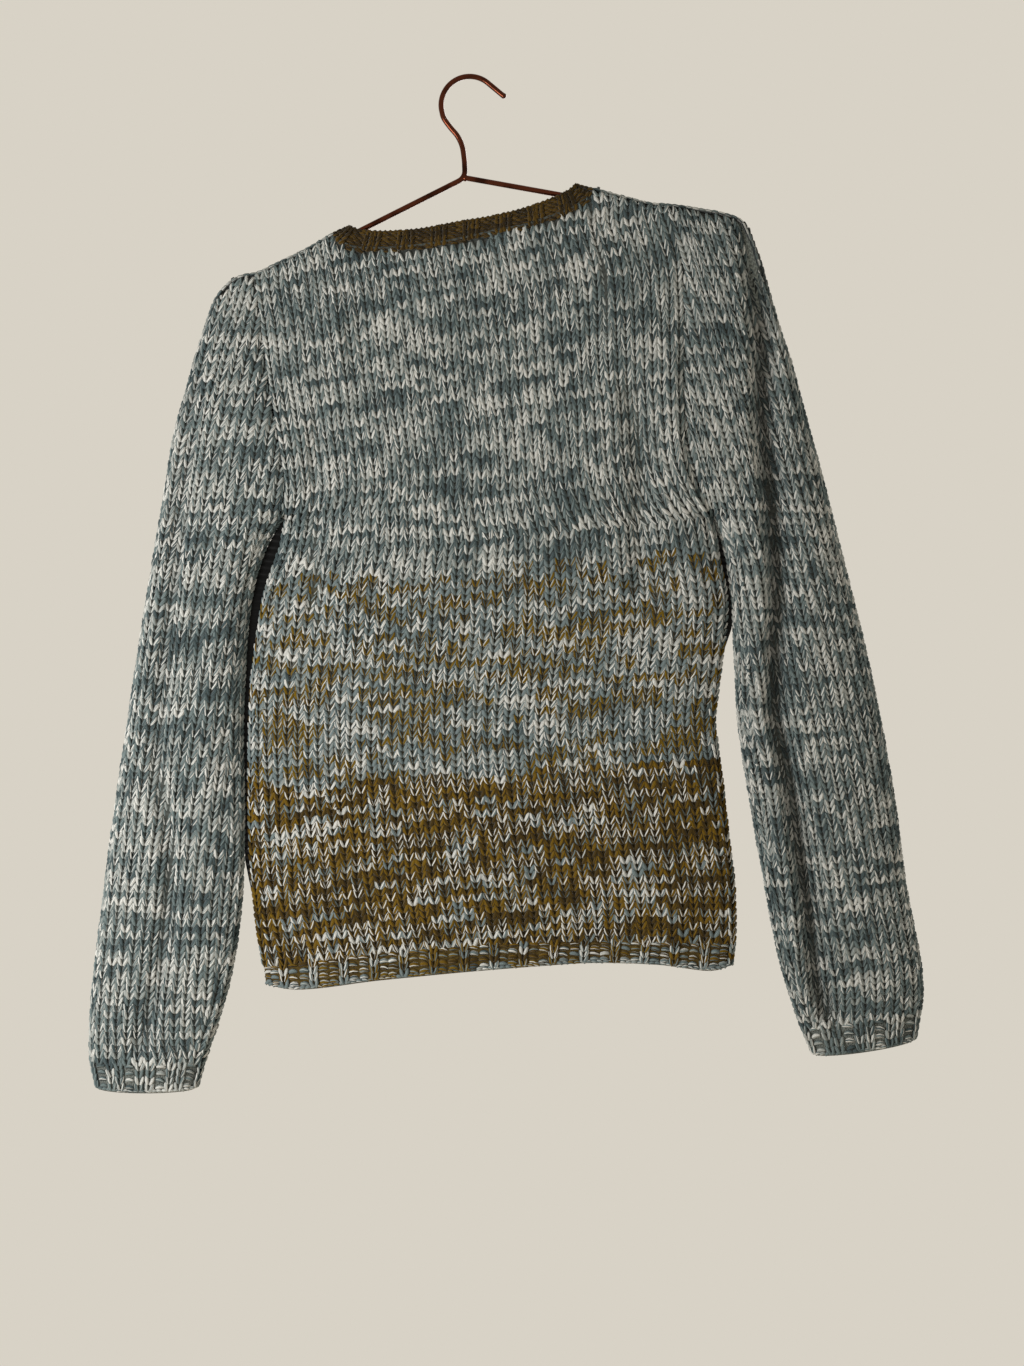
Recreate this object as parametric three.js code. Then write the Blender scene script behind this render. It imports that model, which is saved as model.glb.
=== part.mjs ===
// A hand-framed wool sweater on a bent wire hanger, hung slightly askew.
// Millimetres, +Z up. The origin is the underside of the hook's top, where it rests on what holds it.
// The sweater's back faces -Y; left and right are as seen from that side.
import * as THREE from 'three';

const clothThick = 3;
const seamGap = 0.6;          // between the edges of two pieces that are sewn together
const neckGap = 2.8;          // the same round the neck, where the edge turns sharply
const foldGap = 0.2;          // from the mid plane to the edge of a front or back piece
const wireRadius = 2.1;
const wireSides = 10;

const ridgeRadius = 6.5;      // how roundly the cloth turns over the hanger's arms
const bodyHalfDepth = 20;     // half the thickness of the hanging body at the chest
const hemHalfDepth = 16;
const armholeHalfDepth = 17;
const sleeveHalfDepth = 20;
const cuffHalfDepth = 15;
const hemArch = 10;           // the hem hangs this much higher in the middle than at its sides

const sideRows = 10;          // rows of facets from the hem band to the underarm
const armholeRows = 10;       // from the underarm to the shoulder
const ridgeRows = 3;          // round the top of the shoulder
const shoulderColumns = 5;
const neckColumns = 14;
const sleeveRows = 12;
const halfRingColumns = 10;   // across one face of a sleeve
const bandRows = 2;

const wool = { color: 0x7d837f, roughness: 0.95, metalness: 0 };
const ochreWool = { color: 0x54411a, roughness: 0.95, metalness: 0 };
const marledRib = { color: 0x77705a, roughness: 0.95, metalness: 0 };
const copper = { color: 0x9a5f42, roughness: 0.28, metalness: 1 };

// Outlines, as (x, z) points from the hem or the cuff upwards, or from left to right.
const outline = {
    left: {
        side: [[-160, -692], [-167, -650], [-171, -585], [-171, -484], [-165, -430], [-158, -395],
            [-146.5, -362], [-142.7, -341.6]],
        armhole: [[-142.7, -341.6], [-142, -316], [-148.2, -274], [-157.6, -214], [-164.6, -157.7]],
        cap: [[-165.2, -151.2], [-177, -153.9], [-185.5, -158.5], [-194.5, -168.4], [-201, -182.5],
            [-213, -219], [-230, -282], [-240.2, -344]],
        sleeveOuter: [[-240.2, -344], [-260.5, -469], [-278.5, -594], [-290, -687], [-294.8, -735],
            [-294.5, -767]],
        sleeveInner: [[-143.6, -342], [-155, -360], [-167.5, -399], [-175, -484], [-174.5, -586],
            [-178, -656], [-189.5, -718], [-205.5, -767]],
        cuffEnds: [[-290, -787], [-211, -787]]
    },
    right: {
        side: [[209, -674], [209, -640], [204.5, -594], [196.5, -531], [193.4, -500], [196.5, -469],
            [203, -410], [197.5, -375], [190.3, -340]],
        armhole: [[190.3, -340], [180, -322], [170, -297], [167, -244], [167, -173], [165.5, -141],
            [156, -104.7]],
        cap: [[156.6, -98.2], [183, -102], [201, -105.5], [212, -110], [218.5, -120],
            [228, -146], [252.7, -225], [277, -313], [284.7, -344]],
        sleeveOuter: [[284.7, -344], [308, -438], [327.6, -531], [341, -625], [352.6, -687],
            [354.3, -710], [353, -727]],
        sleeveInner: [[191.2, -340.4], [201.5, -375], [207.5, -438], [210.5, -500], [225.5, -594],
            [243.5, -687], [259.5, -740]],
        cuffEnds: [[349.5, -749], [268.5, -761]]
    },
    leftShoulder: [[-164.6, -151.2], [-147.7, -143.4], [-122.7, -131], [-106, -121]],
    rightShoulder: [[97.5, -85.5], [117, -91], [141.6, -97], [156, -98.2]],
    backNeck: [[-106, -121], [-100.5, -128.5], [-92, -133.4], [-77, -135], [-41.5, -133.1],
        [-5.7, -127.7], [21, -121.4], [48, -116.1], [66, -109.7], [81, -104.4], [90.5, -98],
        [97.5, -85.5]],
    backNeckTop: [[-92, -114.5], [-89.5, -116], [-85, -117.8], [-73, -119.2], [-41, -117.8],
        [-5.7, -111.5], [21, -107], [47, -100.3], [64, -94], [76, -88.5], [81, -85],
        [83.5, -82]],
    frontNeck: [[-106, -121], [-102, -134], [-94, -149], [-82, -163], [-58, -180], [-25, -188],
        [8, -187], [40, -175], [66, -153], [84, -124], [93, -104], [97.5, -85.5]],
    frontNeckTop: [[-92, -114.5], [-88, -127], [-81, -139], [-71, -150], [-51, -165], [-23, -172.5],
        [6, -171.5], [32, -162], [53, -143], [69, -118], [78, -98], [83.5, -82]],
    hemBottom: [[-158.5, -706], [-134.9, -709.4], [-67.9, -702], [-6.2, -695.8], [60, -690.5],
        [97.2, -688.5], [149, -690], [190, -695], [207, -691]]
};
const backNeckDepth = 9;
const frontNeckDepth = 13;

const hanger = {
    apex: [-2.3, -77.2],
    leftEnd: [-180, -173],     // centres of the two end bends
    rightEnd: [196, -118.6],
    bendRadius: 6,
    hookCentre: [1.3, -20.2],
    hookRadius: 22.3,
    hookTip: [27.5, -13],
    stem: [[-12.9, -34.3], [-4.8, -46.8], [-2.2, -61.4]]
};

const mix = THREE.MathUtils.lerp;
const smooth = (low, high, value) => THREE.MathUtils.smoothstep(value, low, high);
const curveThrough = (points) => new THREE.CatmullRomCurve3(
    points.map(([x, z]) => new THREE.Vector3(x, 0, z)), false, 'centripetal');

// The point of a curve at a given x, for a curve that runs from left to right.
function parameterAtX(curve, x) {
    let low = 0;
    let high = 1;
    for (let step = 0; step < 40; step += 1) {
        const middle = (low + high) / 2;
        if (curve.getPoint(middle).x < x) {
            low = middle;
        } else {
            high = middle;
        }
    }
    return (low + high) / 2;
}

function solidMesh(name, triangles, finish) {
    let volume = 0;
    for (let i = 0; i < triangles.length; i += 3) {
        const normal = new THREE.Vector3().crossVectors(triangles[i + 1], triangles[i + 2]);
        volume += triangles[i].dot(normal);
    }
    const ordered = volume < 0 ? triangles.slice().reverse() : triangles;
    const geometry = new THREE.BufferGeometry().setFromPoints(ordered);
    geometry.computeVertexNormals();
    const mesh = new THREE.Mesh(geometry, new THREE.MeshStandardMaterial(finish));
    mesh.name = name;
    return mesh;
}

// A closed wall between two grids of points; hasSides says which rows have free side edges.
function wallTriangles(outer, inner, hasSides) {
    const triangles = [];
    const quad = (a, b, c, d) => triangles.push(a, b, c, a, c, d);
    const lastRow = outer.length - 1;
    const lastColumn = outer[0].length - 1;
    for (let i = 0; i < lastRow; i += 1) {
        for (let j = 0; j < lastColumn; j += 1) {
            quad(outer[i][j], outer[i][j + 1], outer[i + 1][j + 1], outer[i + 1][j]);
            quad(inner[i][j], inner[i + 1][j], inner[i + 1][j + 1], inner[i][j + 1]);
        }
        if (hasSides(i)) {
            quad(inner[i][0], outer[i][0], outer[i + 1][0], inner[i + 1][0]);
            quad(outer[i][lastColumn], inner[i][lastColumn], inner[i + 1][lastColumn],
                outer[i + 1][lastColumn]);
        }
    }
    for (let j = 0; j < lastColumn; j += 1) {
        quad(outer[0][j], inner[0][j], inner[0][j + 1], outer[0][j + 1]);
        quad(inner[lastRow][j], outer[lastRow][j], outer[lastRow][j + 1], inner[lastRow][j + 1]);
    }
    return triangles;
}

// Unit normals of a grid, from its neighbours; a ring's first and last columns are one.
function gridNormals(grid, turn, isRing = () => false) {
    const lastRow = grid.length - 1;
    const lastColumn = grid[0].length - 1;
    return grid.map((row, i) => row.map((point, j) => {
        const wraps = isRing(i) && (j === 0 || j === lastColumn);
        const before = wraps ? row[lastColumn - 1] : row[Math.max(j - 1, 0)];
        const after = wraps ? row[1] : row[Math.min(j + 1, lastColumn)];
        const along = after.clone().sub(before);
        const up = grid[Math.min(i + 1, lastRow)][j].clone().sub(grid[Math.max(i - 1, 0)][j]);
        return along.cross(up).normalize().multiplyScalar(turn);
    }));
}

// On the mid plane the back and front pieces mirror each other, so a normal there has no y.
const flattenNormal = (normal) => normal.setY(0).normalize();
// Over the ridge the body and the sleeve meet in a plane across the shoulder.
const squareNormal = (normal) => normal.setX(0).normalize();
const inset = (grid, normals, distance) => grid.map((row, i) => row.map(
    (point, j) => point.clone().addScaledVector(normals[i][j], -distance)));

const topRow = sideRows + armholeRows;
const allRows = topRow + ridgeRows;
const raise = (row) => (row <= sideRows ? 0 : smooth(0, 1, armholeFraction(Math.min(row, topRow))));

// Rows along an armhole lie closer together towards the shoulder, where the sleeve's cap turns over.
const armholeFraction = (row) => 1 - ((topRow - row) / armholeRows) ** 1.5;

// How far the armhole seam lies from the mid plane, from the underarm (0) to the shoulder (1).
function armholeDepth(t) {
    const opening = Math.sqrt(1 - (1 - Math.min(t / 0.3, 1)) ** 2);
    return opening * mix(armholeHalfDepth, ridgeRadius, smooth(0.3, 1, t));
}

const edgeCurves = {};
for (const side of ['left', 'right']) {
    edgeCurves[side] = {};
    for (const part of ['side', 'armhole', 'cap', 'sleeveOuter', 'sleeveInner']) {
        edgeCurves[side][part] = curveThrough(outline[side][part]);
    }
}
const shoulderTip = { left: outline.leftShoulder[0], right: outline.rightShoulder.at(-1) };

// One point of a body piece's side edge: x, z and its distance from the mid plane.
function edgePoint(side, row) {
    if (row <= sideRows) {
        const point = edgeCurves[side].side.getPointAt(row / sideRows);
        return { x: point.x, z: point.z, depth: 0 };
    }
    if (row <= topRow) {
        const t = armholeFraction(row);
        const point = edgeCurves[side].armhole.getPointAt(t);
        return { x: point.x, z: point.z, depth: armholeDepth(t) };
    }
    const angle = (row - topRow) / ridgeRows * Math.PI / 2;
    const [x, z] = shoulderTip[side];
    return { x, z: z - ridgeRadius * (1 - Math.sin(angle)), depth: ridgeRadius * Math.cos(angle) };
}

// Columns of a body piece, dense at the side folds and at the corners of the neck.
function bodyColumns() {
    const [leftX, rightX] = [shoulderTip.left[0], shoulderTip.right[0]];
    const neckStart = (outline.backNeck[0][0] - leftX) / (rightX - leftX);
    const neckEnd = (outline.backNeck.at(-1)[0] - leftX) / (rightX - leftX);
    const columns = [];
    for (let j = 0; j <= shoulderColumns; j += 1) {
        columns.push(neckStart * (j / shoulderColumns) ** 2);
    }
    for (let j = 1; j < neckColumns; j += 1) {
        columns.push(mix(neckStart, neckEnd, (1 - Math.cos(Math.PI * j / neckColumns)) / 2));
    }
    for (let j = shoulderColumns; j >= 0; j -= 1) {
        columns.push(1 - (1 - neckEnd) * (j / shoulderColumns) ** 2);
    }
    return columns;
}
const columns = bodyColumns();
const isNeckColumn = (j) => j > shoulderColumns && j < shoulderColumns + neckColumns;

function topEdge(neckCurve) {
    const leftCurve = curveThrough(outline.leftShoulder);
    const rightCurve = curveThrough(outline.rightShoulder);
    return columns.map((s, j) => {
        const x = mix(shoulderTip.left[0], shoulderTip.right[0], s);
        let curve = neckCurve;
        if (j <= shoulderColumns) {
            curve = leftCurve;
        } else if (j >= shoulderColumns + neckColumns) {
            curve = rightCurve;
        }
        const parameter = parameterAtX(curve, x);
        return { x, z: curve.getPoint(parameter).z, parameter };
    });
}

// Distance of the neck edge from the mid plane: none on the shoulder ridge, full just inside it.
function neckDepth(j, fullDepth) {
    const fromEnd = Math.min(j - shoulderColumns, shoulderColumns + neckColumns - j);
    return fullDepth * Math.sin(Math.min(fromEnd / 2, 1) * Math.PI / 2);
}

function bodyGrid(faceSign, neckCurve, fullNeckDepth) {
    const top = topEdge(neckCurve);
    const grid = [];
    for (let row = 0; row <= allRows; row += 1) {
        const left = edgePoint('left', row);
        const right = edgePoint('right', row);
        const lift = raise(row);
        const low = 1 - Math.min(row / sideRows, 1);
        const halfDepth = mix(bodyHalfDepth, hemHalfDepth, low ** 2);
        const ridge = Math.max(row - topRow, 0) / ridgeRows;
        grid.push(columns.map((s, j) => {
            const across = Math.abs(2 * s - 1);
            const flatTop = mix(shoulderTip.left[1], shoulderTip.right[1], s);
            const z = mix(left.z, right.z, s) + lift * (top[j].z - flatTop)
                + hemArch * Math.sin(Math.PI * s) * low ** 2;
            const fold = Math.sqrt(1 - across ** 6);
            const crown = 0.85 * fold + 0.15 * (1 - across ** 2);
            const edge = mix(left.depth, right.depth, s);
            const hanging = edge + (halfDepth - edge) * crown;
            let upper = edge;
            if (isNeckColumn(j)) {
                upper = mix(edge, neckDepth(j, fullNeckDepth), Math.max(ridge, lift * 0.8));
            }
            const depth = Math.max(mix(hanging, upper, lift), foldGap);
            return new THREE.Vector3(mix(left.x, right.x, s), faceSign * depth, z);
        }));
    }
    return grid;
}

// A sleeve's rows run from the shoulder down to the cuff; its columns run from the back seam,
// round the outer fold, to the front seam.
function sleeveGrid(side) {
    const curves = edgeCurves[side];
    const outward = side === 'left' ? -1 : 1;
    const grid = [];
    const addRing = (outerPoint, seamPoint, halfDepth, seamDepth) => {
        const ratio = Math.min(seamDepth / halfDepth, 1);
        const lastAngle = Math.PI - Math.asin(ratio);
        const ring = [];
        for (let j = -halfRingColumns; j <= halfRingColumns; j += 1) {
            const angle = Math.abs(j) / halfRingColumns * lastAngle;
            const across = (1 - Math.cos(angle)) / (1 - Math.cos(lastAngle));
            const atEnd = Math.abs(j) === halfRingColumns;
            const depth = atEnd ? seamDepth : halfDepth * Math.sin(angle);
            ring.push(new THREE.Vector3(mix(outerPoint.x, seamPoint.x, across),
                Math.sign(j) * depth, mix(outerPoint.z, seamPoint.z, across)));
        }
        grid.push(ring);
    };
    for (let row = topRow; row > sideRows; row -= 1) {
        const t = armholeFraction(row);
        const seam = edgePoint(side, row);
        seam.x += outward * seamGap;
        const halfDepth = mix(sleeveHalfDepth, ridgeRadius, smooth(0.4, 1, t));
        addRing(curves.cap.getPointAt(1 - t), seam, halfDepth, seam.depth);
    }
    for (let row = 0; row <= sleeveRows; row += 1) {
        const t = row / sleeveRows;
        const halfDepth = mix(sleeveHalfDepth, cuffHalfDepth, smooth(0.6, 1, t));
        addRing(curves.sleeveOuter.getPointAt(t), curves.sleeveInner.getPointAt(t), halfDepth, 0);
    }
    return grid;
}

const isSleeveRing = (row) => row >= armholeRows;

function cuffGrid(side, sleeveEnd) {
    const [outerEnd, innerEnd] = outline[side].cuffEnds;
    const outerTop = sleeveEnd[halfRingColumns];
    const innerTop = sleeveEnd[0];
    const grid = [];
    for (let row = 0; row <= bandRows; row += 1) {
        const t = row / bandRows;
        const drop = row === 0 ? seamGap : 0;
        grid.push(sleeveEnd.map((point, j) => {
            const angle = Math.abs(j - halfRingColumns) / halfRingColumns * Math.PI;
            const across = (1 - Math.cos(angle)) / 2;
            const startX = mix(outerTop.x, innerTop.x, across);
            const startZ = mix(outerTop.z, innerTop.z, across) - drop;
            const endX = mix(outerEnd[0], innerEnd[0], across);
            const endZ = mix(outerEnd[1], innerEnd[1], across) - 2.5 * Math.sin(angle);
            const depth = Math.sin(angle) * mix(cuffHalfDepth, cuffHalfDepth - 1.5, t);
            return new THREE.Vector3(mix(startX, endX, t), Math.sign(j - halfRingColumns) * depth,
                mix(startZ, endZ, t));
        }));
    }
    return grid;
}

function hemGrid(panelEdge, faceSign) {
    const bottom = curveThrough(outline.hemBottom);
    const [startX, endX] = [outline.hemBottom[0][0], outline.hemBottom.at(-1)[0]];
    const grid = [];
    for (let row = 0; row <= bandRows; row += 1) {
        const t = row / bandRows;
        grid.push(panelEdge.map((point, j) => {
            const x = mix(startX, endX, columns[j]);
            const z = bottom.getPoint(parameterAtX(bottom, x)).z;
            const depth = Math.max(Math.abs(point.y) * mix(1, 0.9, t), foldGap);
            return new THREE.Vector3(mix(point.x, x, t), faceSign * depth,
                mix(point.z - seamGap, z, t));
        }));
    }
    return grid;
}

// One ring round the neck: along the back from left to right and along the front back again.
function neckbandGrid(backTop, frontTop) {
    const stations = [];
    const addHalf = (lowerCurve, upperCurve, panelTop, faceSign, fullDepth, order) => {
        for (const j of order) {
            const { parameter } = panelTop[j];
            const isRidge = !isNeckColumn(j);
            const t = isRidge ? Number(j > shoulderColumns) : parameter;
            const depth = isRidge ? 0 : neckDepth(j, fullDepth);
            const lower = lowerCurve.getPoint(t).setY(faceSign * depth);
            const upper = upperCurve.getPoint(t).setY(faceSign * depth * 0.85);
            stations.push([lower, upper]);
        }
    };
    const neckOrder = Array.from({ length: neckColumns }, (_, j) => shoulderColumns + j);
    const returnOrder = neckOrder.map((j) => j + 1).reverse();
    addHalf(curveThrough(outline.backNeck), curveThrough(outline.backNeckTop), backTop, -1,
        backNeckDepth, neckOrder);
    addHalf(curveThrough(outline.frontNeck), curveThrough(outline.frontNeckTop), frontTop, 1,
        frontNeckDepth, returnOrder);
    stations.push(stations[0]);
    const grid = [];
    for (let row = 0; row <= bandRows; row += 1) {
        grid.push(stations.map(([lower, upper]) => {
            const height = upper.clone().sub(lower);
            const start = neckGap / height.length();
            return lower.clone().addScaledVector(height, mix(start, 1, row / bandRows));
        }));
    }
    return grid;
}

const always = () => true;
const never = () => false;

function buildCloth(group) {
    const backCurve = curveThrough(outline.backNeck);
    const frontCurve = curveThrough(outline.frontNeck);
    const grids = {
        back: bodyGrid(-1, backCurve, backNeckDepth),
        front: bodyGrid(1, frontCurve, frontNeckDepth),
        left: sleeveGrid('left'),
        right: sleeveGrid('right')
    };
    const normals = {
        back: gridNormals(grids.back, 1),
        front: gridNormals(grids.front, -1),
        left: gridNormals(grids.left, 1, isSleeveRing),
        right: gridNormals(grids.right, -1, isSleeveRing)
    };
    const lastColumn = columns.length - 1;
    const lastRing = 2 * halfRingColumns;

    for (const face of ['back', 'front']) {
        for (let row = 0; row < sideRows; row += 1) {
            flattenNormal(normals[face][row][0]);
            flattenNormal(normals[face][row][lastColumn]);
        }
        columns.forEach((_, j) => {
            if (!isNeckColumn(j)) {
                flattenNormal(normals[face][allRows][j]);
            }
        });
    }
    for (const side of ['left', 'right']) {
        grids[side].forEach((ring, i) => {
            flattenNormal(normals[side][i][halfRingColumns]);
            if (isSleeveRing(i)) {
                flattenNormal(normals[side][i][0]);
                normals[side][i][lastRing].copy(normals[side][i][0]);
            }
        });
    }
    // Pieces that meet at the armhole share their normals there, so that their edges stay parallel.
    for (const [face, ringColumn] of [['back', 0], ['front', lastRing]]) {
        for (const [side, column] of [['left', 0], ['right', lastColumn]]) {
            for (let row = sideRows + 1; row <= topRow; row += 1) {
                const bodyNormal = normals[face][row][column];
                const sleeveNormal = normals[side][topRow - row][ringColumn];
                bodyNormal.add(sleeveNormal).normalize();
                sleeveNormal.copy(bodyNormal);
            }
            normals[face][sideRows][column].set(0, 0, -1);
            normals[side][armholeRows][ringColumn].set(0, 0, -1);
            for (let row = topRow; row <= allRows; row += 1) {
                squareNormal(normals[face][row][column]);
            }
        }
    }
    for (const side of ['left', 'right']) {
        normals[side][0].forEach(squareNormal);
    }

    const neckGrid = neckbandGrid(topEdge(backCurve), topEdge(frontCurve));
    const neckNormals = gridNormals(neckGrid, 1, always);
    const ridgeStations = [0, neckColumns, 2 * neckColumns];
    neckNormals.forEach((row) => ridgeStations.forEach((j) => flattenNormal(row[j])));

    const addWall = (name, grid, gridNormal, finish, hasSides) => {
        const inner = inset(grid, gridNormal, clothThick);
        group.add(solidMesh(name, wallTriangles(grid, inner, hasSides), finish));
    };
    addWall('back_panel', grids.back, normals.back, wool, always);
    addWall('front_panel', grids.front, normals.front, wool, always);
    const isCapRow = (row) => row < armholeRows;
    addWall('sleeve_left', grids.left, normals.left, wool, isCapRow);
    addWall('sleeve_right', grids.right, normals.right, wool, isCapRow);

    for (const side of ['left', 'right']) {
        const grid = cuffGrid(side, grids[side].at(-1));
        const turn = side === 'left' ? 1 : -1;
        const cuffNormals = gridNormals(grid, turn, always);
        cuffNormals.forEach((row) => {
            flattenNormal(row[halfRingColumns]);
            flattenNormal(row[0]);
            row[lastRing].copy(row[0]);
        });
        cuffNormals[0].forEach((normal, j) => normal.copy(normals[side].at(-1)[j]));
        addWall(`cuff_${side}`, grid, cuffNormals, wool, never);
    }
    for (const [face, sign] of [['back', -1], ['front', 1]]) {
        const grid = hemGrid(grids[face][0], sign);
        const hemNormals = gridNormals(grid, sign);
        hemNormals.forEach((row) => {
            flattenNormal(row[0]);
            flattenNormal(row[lastColumn]);
        });
        hemNormals[0].forEach((normal, j) => normal.copy(normals[face][0][j]));
        addWall(`hem_band_${face}`, grid, hemNormals, marledRib, always);
    }

    neckNormals[0].forEach((normal, station) => {
        const onBack = station <= neckColumns;
        const j = shoulderColumns + (onBack ? station : 2 * neckColumns - station);
        const panelNormal = normals[onBack ? 'back' : 'front'][allRows][j];
        normal.copy(panelNormal);
    });
    neckNormals.forEach((row) => row.at(-1).copy(row[0]));
    addWall('neckband', neckGrid, neckNormals, ochreWool, never);
}

// A round wire along points in the plane of the hanger, closed at both ends.
function wireMesh(name, path) {
    const rings = path.map(([x, z], i) => {
        const before = path[Math.max(i - 1, 0)];
        const after = path[Math.min(i + 1, path.length - 1)];
        const direction = new THREE.Vector3(after[0] - before[0], 0, after[1] - before[1]).normalize();
        const across = new THREE.Vector3(-direction.z, 0, direction.x);
        const ring = [];
        for (let j = 0; j < wireSides; j += 1) {
            const angle = 2 * Math.PI * j / wireSides;
            ring.push(new THREE.Vector3(x, wireRadius * Math.sin(angle), z)
                .addScaledVector(across, wireRadius * Math.cos(angle)));
        }
        return ring;
    });
    const triangles = [];
    const nextSide = (j) => (j + 1) % wireSides;
    for (let i = 0; i < rings.length - 1; i += 1) {
        for (let j = 0; j < wireSides; j += 1) {
            const [a, b] = [rings[i][j], rings[i][nextSide(j)]];
            const [c, d] = [rings[i + 1][nextSide(j)], rings[i + 1][j]];
            triangles.push(a, b, c, a, c, d);
        }
    }
    const last = rings.at(-1);
    for (let j = 1; j < wireSides - 1; j += 1) {
        triangles.push(rings[0][0], rings[0][nextSide(j)], rings[0][j]);
        triangles.push(last[0], last[j], last[nextSide(j)]);
    }
    return solidMesh(name, triangles, copper);
}

function arcPoints([centreX, centreZ], radius, startDegrees, endDegrees, steps) {
    return Array.from({ length: steps + 1 }, (_, i) => {
        const angle = mix(startDegrees, endDegrees, i / steps) * Math.PI / 180;
        return [centreX + radius * Math.cos(angle), centreZ + radius * Math.sin(angle)];
    });
}

function buildHanger(group) {
    const { apex, leftEnd, rightEnd, bendRadius } = hanger;
    const endGap = wireRadius + 0.4;
    const slopeTo = (end) => Math.atan2(end[1] - apex[1], end[0] - apex[0]) * 180 / Math.PI;
    const tangentShift = (end) => Math.asin(bendRadius / Math.hypot(end[0] - apex[0],
        end[1] - apex[1])) * 180 / Math.PI;
    const barTilt = Math.atan2(rightEnd[1] - leftEnd[1], rightEnd[0] - leftEnd[0]) * 180 / Math.PI;
    const leftNormal = slopeTo(leftEnd) - 90 - tangentShift(leftEnd) + 360;
    const rightNormal = slopeTo(rightEnd) + 90 + tangentShift(rightEnd);
    const leftBend = arcPoints(leftEnd, bendRadius, leftNormal, 270 + barTilt, 8);
    const rightBend = arcPoints(rightEnd, bendRadius, -90 + barTilt, rightNormal, 8);
    const armStart = (bendPoint) => {
        const length = Math.hypot(bendPoint[0] - apex[0], bendPoint[1] - apex[1]);
        return apex.map((value, i) => value + (bendPoint[i] - value) * endGap / length);
    };
    const frame = [armStart(leftBend[0]), ...leftBend, ...rightBend, armStart(rightBend.at(-1))];
    group.add(wireMesh('hanger_frame', frame));

    const curl = arcPoints(hanger.hookCentre, hanger.hookRadius, 52, 185, 12);
    const stem = curveThrough([curl.at(-1), ...hanger.stem, [apex[0], apex[1] + 1]]).getPoints(9)
        .map((point) => [point.x, point.z]);
    group.add(wireMesh('hanger_hook', [hanger.hookTip, ...curl, ...stem.slice(1)]));
}

const group = new THREE.Group();
buildCloth(group);
buildHanger(group);

export default group;
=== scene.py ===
# A hand-framed wool sweater on a copper wire hanger, seen from its back.
# The knitting is built stitch by stitch over a thin ground of cloth.
# All sizes are in metres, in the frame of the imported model.
import math

import bmesh
import bpy
import numpy as np
from mathutils import Matrix, Vector


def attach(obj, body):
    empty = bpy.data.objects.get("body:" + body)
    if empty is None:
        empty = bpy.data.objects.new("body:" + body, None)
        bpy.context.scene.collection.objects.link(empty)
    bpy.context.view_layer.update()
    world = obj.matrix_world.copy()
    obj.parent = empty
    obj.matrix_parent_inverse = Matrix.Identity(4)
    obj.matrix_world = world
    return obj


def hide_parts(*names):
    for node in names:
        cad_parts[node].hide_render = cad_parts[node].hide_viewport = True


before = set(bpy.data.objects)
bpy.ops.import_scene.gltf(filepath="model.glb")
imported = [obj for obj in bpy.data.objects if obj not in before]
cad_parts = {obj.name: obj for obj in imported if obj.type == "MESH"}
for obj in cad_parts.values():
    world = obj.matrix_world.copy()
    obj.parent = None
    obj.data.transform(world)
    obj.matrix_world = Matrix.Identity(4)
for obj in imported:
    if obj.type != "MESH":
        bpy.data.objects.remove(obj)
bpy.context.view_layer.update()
print("frame loaded with", len(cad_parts), "nodes")


# A socket of a node, with sums for materials and for geometry trees.
class Signal:
    def __init__(self, graph, socket):
        self.graph = graph
        self.socket = socket

    def math(self, operation, *others):
        sockets = dict(enumerate((self, *others)))
        return self.graph.add("ShaderNodeMath", {"operation": operation}, sockets)

    def __add__(self, other):
        return self.math("ADD", other)

    def __sub__(self, other):
        return self.math("SUBTRACT", other)

    def __mul__(self, other):
        return self.math("MULTIPLY", other)

    def __truediv__(self, other):
        return self.math("DIVIDE", other)

    def __rsub__(self, other):
        return (self * -1) + other

    __radd__ = __add__
    __rmul__ = __mul__

    def sine(self):
        return self.math("SINE")

    def other(self, name):
        return Signal(self.graph, self.socket.node.outputs[name])


class Graph:
    def __init__(self, tree):
        self.tree = tree

    # settings are set first, because they decide which sockets there are
    def add(self, kind, settings={}, sockets={}, output=0):
        node = self.tree.nodes.new(kind)
        for name, value in settings.items():
            setattr(node, name, value)
        for key, value in sockets.items():
            socket = node.inputs[key]
            if isinstance(value, Signal):
                self.tree.links.new(value.socket, socket)
            else:
                socket.default_value = value
        return Signal(self, node.outputs[output]) if len(node.outputs) else None

    # 0 below the low value, 1 above the high one
    def step(self, value, low, high):
        sockets = {"Value": value, "From Min": low, "From Max": high}
        return self.add("ShaderNodeMapRange", {"interpolation_type": "SMOOTHSTEP"}, sockets)

    def mixColour(self, share, first, second, blend="MIX"):
        settings = {"data_type": "RGBA", "blend_type": blend}
        return self.add("ShaderNodeMix", settings, {0: share, 6: first, 7: second}, output=2)

    def shaded(self, colour, shade):
        grey = self.add("ShaderNodeCombineColor", {}, {0: shade, 1: shade, 2: shade})
        return self.mixColour(1.0, colour, grey, "MULTIPLY")

    def noise(self, place, scale, detail):
        return self.add("ShaderNodeTexNoise", {}, {"Vector": place, "Scale": scale, "Detail": detail})

    def bump(self, strength, depth, height):
        sockets = {"Strength": strength, "Distance": depth, "Height": height}
        return self.add("ShaderNodeBump", {}, sockets)

    def split(self, vector):
        x = self.add("ShaderNodeSeparateXYZ", {}, {"Vector": vector})
        return x, x.other("Y"), x.other("Z")


def putInScene(name, data):
    piece = bpy.data.objects.new(name, data)
    bpy.context.collection.objects.link(piece)
    return piece


def linear(red, green, blue):
    channels = [c / 255 for c in (red, green, blue)]
    return tuple(c / 12.92 if c < 0.04045 else ((c + 0.055) / 1.055) ** 2.4 for c in channels) + (1.0,)


def blend(start, end, share):
    return start + (end - start) * share


def smoothStep(low, high, value):
    share = np.clip((value - low) / (high - low), 0, 1)
    return share * share * (3 - 2 * share)


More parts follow.
